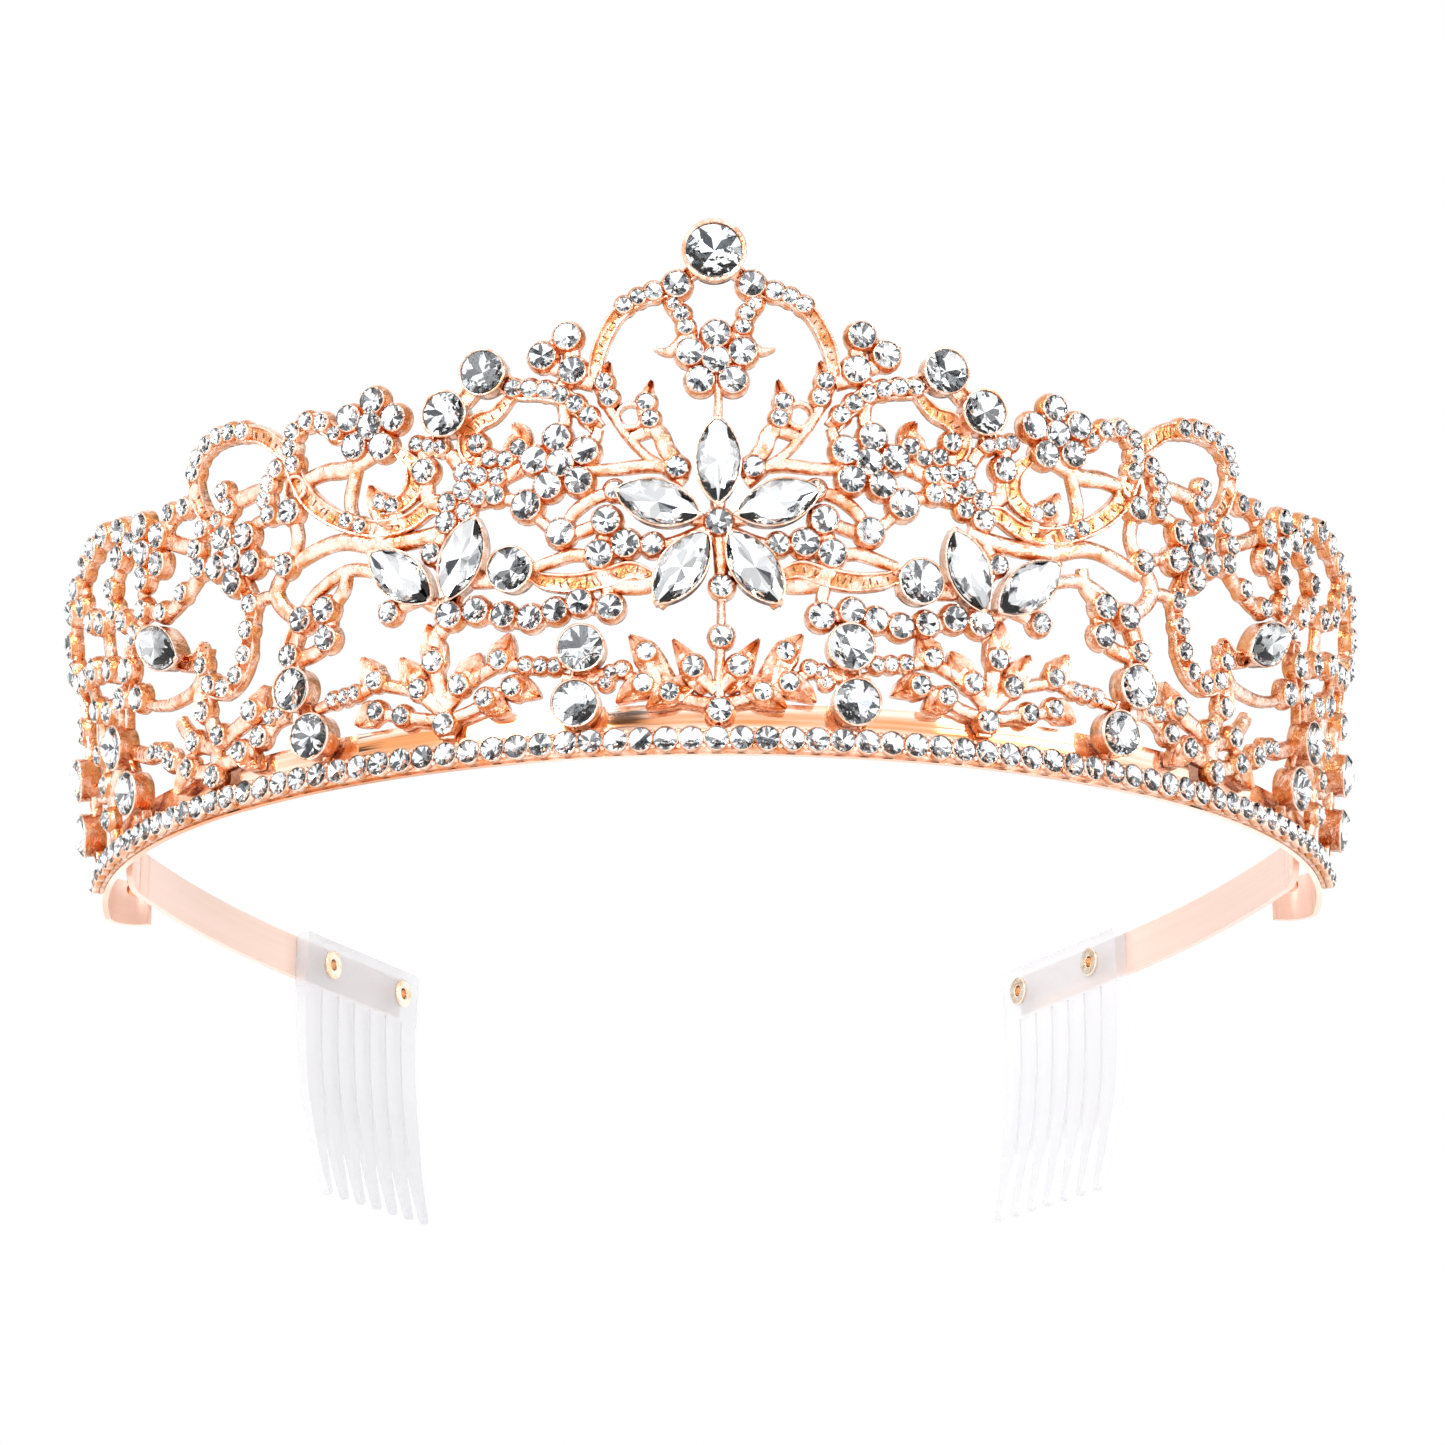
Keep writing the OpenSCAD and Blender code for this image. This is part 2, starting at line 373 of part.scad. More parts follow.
centre_sprig_wires = concat(
    [[[1.4, 1.2, 1.2, 1], [[0.4, 3.4], [0.4, 6], [0.4, 10], [0.6, 14], [0.6, 18]]]],
    [for (e = [-1, 1]) each [
        [thin, [for (p = [[0, 7.2], [2.6, 9.7], [4, 11.4]]) [e * p.x, p.y]]],
        [leaf, [for (p = [[3.4, 10.8], [4.2, 11.9], [4.9, 13.2]]) [e * p.x, p.y]]],
        [thin, [for (p = [[0, 5.7], [3, 6.2], [5.3, 6.9], [8.3, 8], [11, 9.6], [14.6, 9.4]]) [e * p.x, p.y]]],
        [leaf, [for (p = [[5.4, 6.6], [6.8, 5.9], [8, 5.2]]) [e * p.x, p.y]]],
        [leaf, [for (p = [[8.8, 8], [10.2, 7], [11.4, 6]]) [e * p.x, p.y]]],
        [thin, [for (p = [[6.6, 7.4], [7.2, 9.6], [7.9, 11.6]]) [e * p.x, p.y]]],
        [leaf, [for (p = [[7.8, 11.4], [8.8, 12.6], [9.8, 13.8]]) [e * p.x, p.y]]]]]);
centre_sprig_stones = concat([[0.6, 13.2, mid_r], [0.4, 4.7, 1.25]],
    [for (e = [-1, 1], p = [[2.6, 9.8, mid_r], [7.9, 11.6, 0.9], [8.3, 8, 0.95], [5.3, 6.9, 0.9],
                            [10.7, 9.7, 0.65], [12, 9.4, 0.55], [12.6, 8.2, 0.55]]) [e * p.x, p.y, p.z]]);
centre_round = concat(crest_arch_stones, crest_flower_stones, star_stones, centre_sprig_stones);

function shifted(list, e, drop) = [for (p = list) [e * p[0], p[1] - drop, p[2]]];
function side_stones(e) = [for (i = [0 : len(sprays) - 1])
    each shifted(sprays[i][1], e, e > 0 ? right_drop[i] : 0)];
function side_set(e) = [for (i = [0 : len(sprays) - 1], p = sprays[i][2])
    [e * p[0], p[1] - (e > 0 ? right_drop[i] : 0), e > 0 ? p[2] : 180 - p[2]]];

module ring(r) {
    rotate_extrude($fn = 32) translate([r - 0.5, 0]) square([1, cast_t]);
}
module casting(wires, rings = []) {
    color(gold) {
        for (w = wires) wire(w[1], w[0]);
        for (p = rings) place(p[0], p[1], cast_back) ring(p[2]);
    }
}
module side_casting(i, e) {
    drop = e > 0 ? right_drop[i] : 0;
    mirror([e > 0 ? 1 : 0, 0, 0]) casting(
        [for (w = sprays[i][0]) [w[0], [for (p = w[1]) [-p[0], p[1] - drop]]]],
        shifted(rings_of(UNITS[i]), -1, drop));
}

// A pointed oval prism of two arcs
module navette(l, w, t, grow, fn = 64) {
    r = (l * l + w * w) / (4 * w);
    linear_extrude(t)
        intersection() {
            translate([0, r - w / 2]) circle(r + grow, $fn = fn * 3);
            translate([0, w / 2 - r]) circle(r + grow, $fn = fn * 3);
        }
}

// Large round stones sit in cups whose seats follow their undersides; small ones stand on the casting
cup_from = 2;
cup_floor = 0.25;
function girdle(r) = cup_floor + 0.5 * r;
module cup(r) {
    rotate_extrude($fn = 32)
        polygon([[0, 0], [r + cup_wall, 0], [r + cup_wall, girdle(r) + 0.05], [r, girdle(r) + 0.05],
                 [r, girdle(r) - 0.05], [0.25 * r, cup_floor + 0.1 * r], [0, cup_floor + 0.1 * r]]);
}
module stone(r) {
    rotate_extrude($fn = 32)
        polygon([[0, cup_floor + 0.1 * r], [0.25 * r, cup_floor + 0.1 * r], [r, girdle(r) - 0.05],
                 [r, girdle(r) + 0.05], [0.6 * r, girdle(r) + 0.35 * r], [0, girdle(r) + 0.35 * r]]);
}
module navette_box() {
    difference() {
        navette(navette_l, navette_w, 1.1, cup_wall);
        translate([0, 0, 0.3]) navette(navette_l, navette_w, 1, 0);
    }
}
module navette_stone() {
    translate([0, 0, 0.3]) navette(navette_l, navette_w, 0.9, 0);
    translate([0, 0, 1.2]) navette(navette_l * 0.8, navette_w * 0.72, 0.7, 0);
}
module settings(stones, navettes) {
    color(gold) {
        for (p = stones) if (p[2] >= cup_from) place(p[0], p[1]) cup(p[2]);
        for (p = navettes) place(p[0], p[1]) rotate([0, 0, p[2]]) navette_box();
    }
}
module stones(list) {
    color(crystal) for (p = list) place(p[0], p[1])
        if (p[2] >= cup_from) stone(p[2]);
        else translate([0, 0, -cup_floor - 0.1 * p[2]]) stone(p[2]);
}
module navettes(list) {
    color(crystal) for (p = list) place(p[0], p[1]) rotate([0, 0, p[2]]) navette_stone();
}

// Each stretch of a strip starts inside the last one, a hair smaller, so that they join cleanly
lap = 0.02;
lap_a = 0.5;

// A strip that follows the band's curve between two offsets and two heights
module strip(d0, d1, h0, h1) {
    translate([0, y_shift, band_z]) {
        translate([0, front_r, 0])
            rotate([0, 0, -90 - front_a]) rotate_extrude(angle = 2 * front_a, $fn = 360)
                translate([front_r + d0, h0]) square([d1 - d0, h1 - h0]);
        for (e = [0, 1]) mirror([e, 0, 0])
            translate([side_x, side_y, 0])
                rotate([0, 0, front_a - 90 - lap_a]) rotate_extrude(angle = side_a + lap_a, $fn = 360)
                    translate([side_r + d0 + lap, h0 + lap])
                        square([d1 - d0 - 2 * lap, h1 - h0 - 2 * lap]);
    }
}
band_in = cast_back - band_t;
end_a = front_a + side_a;
module liner_band() {
    color(satin) {
        strip(band_in, cast_back, 0, band_h);
        for (e = [0, 1]) mirror([e, 0, 0])
            translate([side_x + (side_r + band_in - return_r) * sin(end_a),
                       side_y - (side_r + band_in - return_r) * cos(end_a) + y_shift, band_z])
                rotate([0, 0, end_a - 90 - 5])
                    rotate_extrude(angle = return_a + 5, $fn = 96)
                        translate([return_r + 2 * lap, 2 * lap]) square([band_t - 4 * lap, band_h - 4 * lap]);
    }
}
rail_t = 0.6;
module cup_chain() {
    color(gold) {
        strip(cast_back, cast_back + rail_t, 0.2, 2.9);
        for (i = [-row_n : row_n]) row_place(i) cup(row_r);
    }
}
module row_stones() {
    color(crystal) for (i = [-row_n : row_n]) row_place(i) stone(row_r);
}
module row_place(i) {
    s = i * row_pitch;
    a = heading(s);
    p = plan(s, cast_back + rail_t - 0.1);
    translate([p.x, p.y + y_shift, band_z + row_h])
        rotate([0, 0, a]) rotate([90, 0, 0]) children();
}

// The middle of an arm's bend, and the frame of its straight stretch
arm_cx = arm_x - arm_r * cos(arm_a0);
arm_cy = arm_y - arm_r * sin(arm_a0) + y_shift;
module arm_frame() {
    translate([arm_cx + arm_r * cos(arm_a1), arm_cy + arm_r * sin(arm_a1), band_z])
        rotate([0, 0, arm_a1]) children();
}
module side(e) {
    mirror([e < 0 ? 1 : 0, 0, 0]) children();
}
eyelet_y = [4.5, comb_l - 6.5];
eyelet_bore = 0.8;
eyelet_r = 1.2;
module eyelet_holes(r) {
    for (y = eyelet_y) translate([0, y, arm_w / 2]) rotate([0, 90, 0])
        cylinder(r = r, h = 12, center = true, $fn = 48);
}
module arm(e) {
    color(satin) side(e) {
        translate([arm_cx, arm_cy, band_z]) rotate([0, 0, arm_a0]) {
            rotate_extrude(angle = arm_a1 - arm_a0, $fn = 240)
                translate([arm_r - arm_t / 2, 0]) square([arm_t, arm_w]);
            translate([arm_r, 0, arm_w / 2]) rotate([0, 90, 0])
                cylinder(r = arm_w / 2 - lap, h = arm_t - 2 * lap, center = true, $fn = 64);
        }
        arm_frame() difference() {
            translate([-arm_t / 2, -0.01, 0]) cube([arm_t, arm_end, arm_w]);
            eyelet_holes(eyelet_r);
        }
    }
}
module solder(e) {
    color(gold) side(e)
        translate([arm_x + 0.9, arm_y + 3.4 + y_shift, band_z + arm_w / 2]) rotate([0, 0, 14])
            for (z = [-1.4, -0.2, 1]) translate([0, 0, z]) sphere(r = 0.9, $fn = 24);
}

// Comb: a bar and teeth cut from a slab that curves in towards the head and thins towards the tips
comb_curve = 110;
comb_fall = 3.2;  // the slab's inner curve is lower than its outer one by this
bar_h = 7.5;
tip_w = 1.3;
slit = 0.5;       // gap between two teeth above their taper
taper_h = 14;     // height of a tooth's taper
bar_over = 0.25;  // the bar is longer than the row of teeth by this at each end
module comb_outline() {
    pitch = (comb_l - 2 * bar_over + slit) / teeth;
    tooth_w = pitch - slit;
    translate([0, comb_top - bar_h]) square([comb_l, bar_h]);
    for (i = [0 : teeth - 1])
        translate([bar_over + tooth_w / 2 + i * pitch, comb_top - comb_h])
            polygon([[-tip_w / 2, 0.5], [-tip_w / 4, 0], [tip_w / 4, 0], [tip_w / 2, 0.5],
                     [tooth_w / 2, taper_h], [tooth_w / 2, comb_h - bar_h + 1],
                     [-tooth_w / 2, comb_h - bar_h + 1], [-tooth_w / 2, taper_h]]);
}
module comb(e) {
    color(clear) side(e) arm_frame() difference() {
        intersection() {
            translate([-arm_t / 2 - comb_curve, comb_start, comb_top - 6]) rotate([-90, 0, 0])
                difference() {
                    cylinder(r = comb_curve, h = comb_l, $fn = 240);
                    translate([0, comb_fall, -1])
                        cylinder(r = comb_curve - comb_t, h = comb_l + 2, $fn = 240);
                }
            translate([20, comb_start, 0]) rotate([90, 0, -90]) mirror([1, 0, 0])
                linear_extrude(60) comb_outline();
        }
        eyelet_holes(eyelet_r);
    }
}
module eyelets(e) {
    grip_in = -arm_t / 2 - comb_t - 0.15;
    grip_out = arm_t / 2;
    color(gold) side(e) arm_frame() for (y = eyelet_y)
        translate([0, y, arm_w / 2]) rotate([0, 90, 0]) rotate_extrude($fn = 48)
            polygon([[eyelet_bore, grip_in - 0.4], [2, grip_in - 0.4], [2, grip_in],
                     [eyelet_r, grip_in], [eyelet_r, grip_out], [1.9, grip_out],
                     [1.9, grip_out + 0.35], [eyelet_bore, grip_out + 0.35]]);
}

liner_band();
cup_chain();
row_stones();
casting(crest_arch_wires);  // crest_arch
casting(crest_flower_wires);  // crest_flower
casting(star_wires);  // star_flower
casting(centre_sprig_wires);  // centre_sprig
settings(centre_round, star_set);  // centre_settings
stones(centre_round);  // centre_stones
navettes(star_set);  // star_navettes
for (i = [0 : len(UNITS) - 1], k = [0, 1])
    side_casting(i, 2 * k - 1);
for (k = [0, 1]) {
    e = 2 * k - 1;
    name = SIDES[k];
    round_stones = side_stones(e);
    settings(round_stones, side_set(e));
    stones([for (p = round_stones) if (p[2] < cup_from) p]);
    stones([for (p = round_stones) if (p[2] >= cup_from) p]);
    navettes(side_set(e));
    arm(e);
    solder(e);
    comb(e);
    eyelets(e);
}
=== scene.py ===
"""A bridal tiara: rose gold castings set with crystals above a liner band, with a clear comb on each arm."""
import math
import random

import bpy
import bmesh
import numpy as np
from mathutils import Matrix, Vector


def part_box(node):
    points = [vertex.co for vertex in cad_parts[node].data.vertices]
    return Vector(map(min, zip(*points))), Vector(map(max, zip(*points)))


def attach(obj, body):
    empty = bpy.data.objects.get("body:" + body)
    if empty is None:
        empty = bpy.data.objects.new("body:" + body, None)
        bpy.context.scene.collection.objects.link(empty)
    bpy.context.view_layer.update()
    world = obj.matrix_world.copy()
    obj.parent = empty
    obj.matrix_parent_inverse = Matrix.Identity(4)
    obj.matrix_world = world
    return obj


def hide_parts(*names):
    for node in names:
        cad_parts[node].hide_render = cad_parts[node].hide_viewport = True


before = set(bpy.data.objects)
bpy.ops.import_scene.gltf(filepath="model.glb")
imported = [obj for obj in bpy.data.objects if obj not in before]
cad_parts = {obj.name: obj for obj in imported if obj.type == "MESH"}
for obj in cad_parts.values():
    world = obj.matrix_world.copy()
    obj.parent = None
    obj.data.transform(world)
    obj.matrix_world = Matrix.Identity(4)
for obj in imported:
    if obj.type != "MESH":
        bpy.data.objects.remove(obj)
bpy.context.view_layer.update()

random.seed(7)
MM = 0.001

# The band's plan, in millimetres, as in the CAD model: a front arc and a side arc on each side
FRONT_R, SIDE_R = 86, 71
FRONT_A = math.radians(42)
FLARE = math.radians(8)
FLARE_H = 3
CAST_T = 1.2
CAST_BACK = -1
CAST_FRONT = CAST_BACK + CAST_T
FRONT_LEN = FRONT_R * FRONT_A
SIDE_X = (FRONT_R - SIDE_R) * math.sin(FRONT_A)
SIDE_Y = FRONT_R - (FRONT_R - SIDE_R) * math.cos(FRONT_A)
BAND_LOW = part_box("liner_band")[0] / MM
BAND_Z = BAND_LOW.z
Y_SHIFT = BAND_LOW.y + CAST_BACK

# Stone sizes
SMALL_R, MID_R, CLAW_R, BIG_R, TOP_R = 0.85, 1.1, 1.45, 2.5, 3.2
CUP_FROM = 2
ROW_R, ROW_PITCH, ROW_N, ROW_H = 1.3, 2.9, 37, 1.5
NAVETTE_L, NAVETTE_W = 10, 5
NAVETTE_LIFT = 1.15

# Detail of the cast metal
LINE_STEPS = 5          # sections of a wire between two of its points
MARK_PITCH = 0.75       # between the milled marks on a band
CREASE = 40             # degrees at which a cast edge stays sharp
TIP_RELIEF = 0.55       # least relief on a wire's thin tip
GRAINS = 4              # pushed over the edge of a small stone

# How a CAD piece's edges are eased, in degrees
FLAT_ANGLE, HARD_ANGLE, SHARP_ANGLE = 1, 50, 20
FOLD = 0.006            # depth of the liner band's turned-in ends, in metres

# Kinds of cast wire: the section and the widths from end to end
THIN = ("wire", [1.5, 1.7, 1.4])
EVEN = ("wire", [2.0, 2.2, 1.9])
STOUT = ("band", [2.1, 2.5, 2.1])
LEAF = ("leaf", [1.6, 3.3, 3.5, 2.3, 0.25])
RIM = ("band", [1.2, 2.4, 2.6, 2.2, 1.0])
LEG = ("wire", [1.8, 1.3, 1.2, 1.7])


# ---------- places on the tiara ----------

def heading(s):
    """The band's direction, as a turn about Z, at a distance s along it."""
    if abs(s) <= FRONT_LEN:
        return s / FRONT_R
    return math.copysign(FRONT_A + (abs(s) - FRONT_LEN) / SIDE_R, s)


def at(s, h, d):
    """The point at s along the band, h up and d outward, in millimetres."""
    a = heading(s)
    d += max(h - FLARE_H, 0) * math.tan(FLARE)
    if abs(s) <= FRONT_LEN:
        x, y = (FRONT_R + d) * math.sin(a), FRONT_R - (FRONT_R + d) * math.cos(a)
    else:
        x = math.copysign(SIDE_X, s) + (SIDE_R + d) * math.sin(a)
        y = SIDE_Y - (SIDE_R + d) * math.cos(a)
    return np.array([x, y + Y_SHIFT, h + BAND_Z])


def outward(s, flare=FLARE):
    a = heading(s)
    return np.array([math.sin(a) * math.cos(flare), -math.cos(a) * math.cos(flare), -math.sin(flare)])


def stand(s, h, d=CAST_FRONT, flare=FLARE, turn=0.0):
    """Origin and axes of a stone's place: x along the band, y up, z outward, turned about z."""
    a = heading(s)
    z = outward(s, flare)
    x = np.array([math.cos(a), math.sin(a), 0])
    y = np.cross(z, x)
    c, n = math.cos(turn), math.sin(turn)
    return at(s, h, d), np.array([c * x + n * y, -n * x + c * y, z])


def smooth_line(points, steps):
    """A smooth line through [s, h] points."""
    p = np.array(points, float)
    last = len(p) - 1
    line = []
    for i in range(last):
        a, b, c, d = p[max(i - 1, 0)], p[i], p[i + 1], p[min(i + 2, last)]
        for k in range(steps):
            t = k / steps
            line.append(0.5 * (2 * b + (c - a) * t + (2 * a - 5 * b + 4 * c - d) * t ** 2
                               + (3 * b - a - 3 * c + d) * t ** 3))
    line.append(p[last])
    return np.array(line)


def between(values, t):
    return float(np.interp(t, np.linspace(0, 1, len(values)), values))


# ---------- the castings: [wires, stones, navettes], a wire is [kind, [s, h] points],
# a stone is [s, h, radius] and a navette is [s, h, turn] ----------

def petals(s, h, r, turn, size):
    angles = [math.radians(turn + 72 * k) for k in range(5)]
    return [[s + r * math.cos(a), h + r * math.sin(a), size] for a in angles]


def flower(s, h, turn, size):
    return [[s, h, size]] + petals(s, h, 3, turn, size)


def spokes(s, h, turn):
    return [[EVEN, [[s, h], p[:2]]] for p in petals(s, h, 3.2, turn, 0)]


def concat(*lists):
    return [item for part in lists for item in part]


def both(points):
    """A list of points on the right and its mirror image on the left."""
    return [[[e * p[0]] + list(p[1:]) for p in points] for e in (-1, 1)]


ROUND_PAIR = [
    [[STOUT, [[15.6, 3.4], [15.9, 5.7], [15.1, 12], [14.8, 15.2]]],
     [THIN, [[13.4, 9.3], [15.5, 8.8], [17.6, 9.3]]]],
    [[15.1, 12, BIG_R], [15.9, 5.7, BIG_R]], []]
LEAF_SPRIG = [
    [[EVEN, [[32, 3.6], [32, 5.1], [32.6, 8.5], [33, 12.5], [33.2, 14.2]]],
     [LEAF, [[33, 13.4], [33.2, 15.4], [33.3, 17.2]]],
     [EVEN, [[32.4, 7], [30, 9.4], [28.7, 11]]],
     [LEAF, [[29, 10.6], [28, 11.8], [27.1, 13]]],
     [EVEN, [[32.4, 7], [35, 9.5], [36, 11.5]]],
     [LEAF, [[35.6, 11], [36.4, 12.3], [37, 13.8]]],
     [THIN, [[32.2, 5.6], [28.5, 6.6], [26.8, 7.6], [24.5, 8.4], [22.4, 8]]],
     [LEAF, [[23.2, 8.6], [21.8, 8.2], [20.2, 7.3]]],
     [LEAF, [[26.4, 7.4], [25.2, 6.6], [24, 6]]],
     [THIN, [[32.2, 5.6], [35.4, 6.4], [37.4, 6.8], [40.7, 7.7], [42, 7.4]]],
     [LEAF, [[41.4, 7.8], [42.4, 7.3], [43.6, 6.6]]],
     [THIN, [[30, 9.4], [27.4, 10.6], [25, 11.8], [24.2, 13]]],
     [LEAF, [[24.8, 12.4], [24.1, 13.6], [23.5, 15]]],
     [THIN, [[25, 11.8], [21.9, 10.9], [20.1, 10.7], [18.4, 10.6], [17.2, 11]]],
     [THIN, [[35, 9.5], [38, 10.4], [40.6, 11.3], [41.6, 12.6]]],
     [LEAF, [[41, 12], [41.6, 13.2], [42.1, 14.6]]],
     [THIN, [[40.6, 11.3], [43.5, 10.3], [45, 10.1], [46.6, 10], [49.2, 9.6]]]],
    [[33, 12.5, MID_R], [32, 5.1, 1.15], [30, 9.4, 1.05], [35, 9.5, 1.05], [40.6, 11.3, 0.95],
     [25, 11.8, 0.95], [23.6, 8.5, 0.95], [26.9, 7.5, 0.9], [40.7, 7.7, 0.9], [37.4, 6.7, 0.9],
     [21.9, 10.9, 0.65], [20.1, 10.7, 0.65], [18.5, 10.5, 0.65],
     [43.5, 10.3, 0.65], [45, 10.1, 0.65], [46.6, 10, 0.65]], []]
CUP_ROW = [
    [[EVEN, [[10.6, 16.2], [11.9, 16.9], [15.4, 17.7], [18.2, 16.9], [21.1, 16.3], [24.2, 16.9],
             [27.5, 17.8], [30.7, 17.6], [32.4, 18.4]]],
     [EVEN, [[33.1, 14.6], [32.4, 16.2], [30.7, 17.6]]]],
    [[11.9, 16.9, 1.35], [15.4, 17.7, 1.3], [18.2, 16.9, 1.25], [21.1, 16.3, 1.3],
     [24.2, 16.9, 1.25], [27.5, 17.8, 1.35], [30.7, 17.6, 1.4]], []]
STAR_SPRAY = [
    [[THIN, [[7.4, 24.1], [10, 24.2], [12.1, 27], [14.8, 26.4], [17.3, 25.9], [19.4, 27.6], [21.1, 29.4]]],
     [EVEN, [[12.1, 27], [12.6, 25], [13, 23.1], [12.6, 21], [11, 19.8], [8, 19.6], [5.6, 20.6]]],
     [RIM, [[7, 20.4], [9.4, 21.4], [12.4, 20.6], [16, 20.2], [19.6, 20.8], [21, 22]]],
     [THIN, [[13, 23.1], [16, 23.6], [18.6, 23], [20.6, 22.4]]],
     [THIN, [[10.4, 30.6], [13.4, 30.2], [16, 28.4], [17.3, 25.9]]],
     [THIN, [[12.6, 21], [12.2, 19], [11.9, 17.2]]]],
    [[12.1, 27, CLAW_R], [10, 24.2, CLAW_R], [13, 23.1, CLAW_R], [17.3, 25.9, CLAW_R],
     [21.1, 29.4, 1.6], [11.2, 30.6, 0.9], [7, 24, MID_R]], []]
SHOULDER_SCROLL = [
    concat(spokes(17.1, 34.1, 84),
    [[EVEN, [[13.2, 43.6], [15.5, 44.9], [16, 49], [18.8, 46.9], [15.5, 44.9]]],
     [STOUT, [[12.9, 38.2], [14.6, 40.4], [17, 42.4], [19.5, 43.2], [22, 43.6], [25.3, 45.3],
              [29.9, 41], [31.2, 38.4]]],
     [RIM, [[22, 43.6], [24.4, 41], [26.6, 40.2], [27.8, 38.4], [27.4, 36.4], [25.4, 35.2],
            [23.4, 35.2], [21.8, 36.4]]],
     [LEAF, [[22.3, 36], [21.6, 38.2], [22.4, 39.6]]],
     [EVEN, [[15.8, 44.7], [16.6, 43.7], [17.2, 42.7]]],
     [THIN, [[17, 42.4], [16.6, 39.4], [17.3, 37.1]]],
     [EVEN, [[19.9, 35], [22.6, 34], [24.5, 33.4], [26.6, 33.2], [28.3, 34]]],
     [EVEN, [[24.8, 31.2], [26.6, 33.2], [26.6, 36]]],
     [EVEN, [[24.8, 31.2], [27, 30.9], [30, 30.9], [30.4, 28.6]]],
     [EVEN, [[27, 30.9], [28.6, 31.9], [28.3, 34], [30, 37]]],
     [EVEN, [[28.7, 29.3], [30, 30.9], [33, 32], [33, 35], [33.4, 38.3]]],
     [THIN, [[21.1, 29.4], [22.8, 30.6], [24.8, 31.2]]],
     [THIN, [[15.2, 31.6], [14.4, 33.4], [13.6, 36], [12.9, 38.2]]],
     [THIN, [[4.6, 33.2], [7.6, 33.6], [10.8, 33.4], [14, 33.4]]]]),
    concat(flower(17.1, 34.1, 84, CLAW_R),
        [[16, 49, CLAW_R], [18.8, 46.9, CLAW_R], [15.5, 44.9, CLAW_R],
         [25.3, 45.3, BIG_R], [29.9, 41, BIG_R],
         [22.2, 43.5, SMALL_R], [20.4, 43.3, SMALL_R], [18.6, 42.9, SMALL_R], [16.9, 42.2, SMALL_R],
         [15.3, 41, SMALL_R], [13.9, 39.5, SMALL_R],
         [21.8, 36.4, SMALL_R], [23.4, 35.2, 0.8], [25.2, 35.5, 0.8],
         [26.6, 37.4, 0.95], [24.4, 33.3, 0.85], [26.5, 33.6, 0.9], [28.3, 34.3, 0.95],
         [24.7, 31.1, 0.95], [28.5, 32.1, 0.95], [26.8, 31.1, 0.8], [30.4, 30.9, 0.95],
         [28.4, 29.6, 0.85], [30.6, 28.6, MID_R],
         [33.8, 38.4, 0.7], [32.4, 38, 0.7], [31, 37.6, 0.7], [33, 35, 1.3]]), []]
NAVETTE_SPRAY = [
    [[EVEN, [[20.6, 21.6], [23, 21.8], [25.6, 21.6], [29, 21.6], [31.6, 19.2], [34, 20.4], [38.6, 25]]],
     [STOUT, [[30.8, 19.2], [29.6, 21.6], [28.7, 23.8], [27.2, 27.2]]],
     [THIN, [[29.6, 21.6], [31.4, 23.4], [32.6, 25.2], [31.6, 27], [30.6, 28.4]]],
     [THIN, [[34, 20.4], [36.4, 20], [38.3, 19]]],
     [THIN, [[31.6, 19.2], [31.4, 18.2], [30.9, 17.4]]],
     [THIN, [[36.2, 22.7], [40.6, 24.6], [44, 25.2], [48, 23.6], [50.4, 21.6]]]],
    [[23, 21.8, 2.45], [32.6, 25.2, 1], [38.3, 19, MID_R]],
    [[36.2, 22.7, 41], [28.7, 23.8, 113]]]
OUTER_SCROLL = [
    concat(spokes(39.4, 41.5, 100),
    [[STOUT, [[41.8, 41.4], [44.1, 41.8], [46.2, 43.6], [48.4, 43.9], [50.2, 42.6], [50.4, 40],
              [49.6, 37.2], [48.2, 34.6], [45.6, 32.2], [42.4, 30.4], [39, 29.4], [35.4, 29.6],
              [32.6, 31], [30.6, 30.4]]],
     [RIM, [[36.2, 38.2], [34.4, 36], [34.6, 33.4], [36.6, 31.8], [39, 31.6]]],
     [LEAF, [[38.4, 31.4], [39.4, 33], [39.9, 34.8]]],
     [EVEN, [[39.4, 38.6], [43, 37.4], [46, 37.6], [48.6, 37.2]]],
     [THIN, [[41.3, 38.8], [42.4, 35.6], [43, 33], [42.4, 30.4]]],
     [EVEN, [[29, 28.6], [32, 27.8], [36, 27.4], [40, 27.6], [44, 28.8], [47.4, 28.6], [52.2, 27.2]]],
     [EVEN, [[39, 29.6], [39.4, 27.5]]],
     [EVEN, [[37, 31.7], [37.2, 29.5]]],
     [THIN, [[50.4, 40], [51.6, 40.6], [52.4, 41.6]]]]),
    concat(flower(39.4, 41.5, 100, CLAW_R),
        [[44.2, 41.6, 0.75], [45.8, 43.3, 0.9], [47.9, 43.9, 0.9], [49.8, 43, 0.9],
         [50.4, 41.1, 0.9], [50.1, 39.1, 0.9],
         [37.2, 31.6, 0.75], [38.7, 32.3, 0.75], [41.5, 29.9, 0.75], [43.3, 30.9, 0.75]]), []]
OUTER_POST = [
    [[STOUT, [[49.2, 3.4], [49.2, 5.8], [51.5, 11.8], [52.4, 16.3], [51.6, 19], [50.3, 20.2]]],
     [EVEN, [[46.9, 17.3], [46.9, 20.8], [50.3, 20.2], [51.6, 18.6], [52.4, 16.3], [49.6, 16.2],
             [46.9, 17.3]]],
     [THIN, [[46.9, 20.8], [44.6, 23], [44, 25.2]]],
     [EVEN, [[50.3, 20.2], [53.4, 22.6], [54.2, 25], [52.2, 27.2]]]],
    [[51.5, 11.8, 2.4], [49.2, 5.8, BIG_R], [52.4, 16.3, 1.15],
     [46.9, 20.8, 1.35], [50.3, 20.2, 1.35], [46.9, 17.3, 1.3]], []]
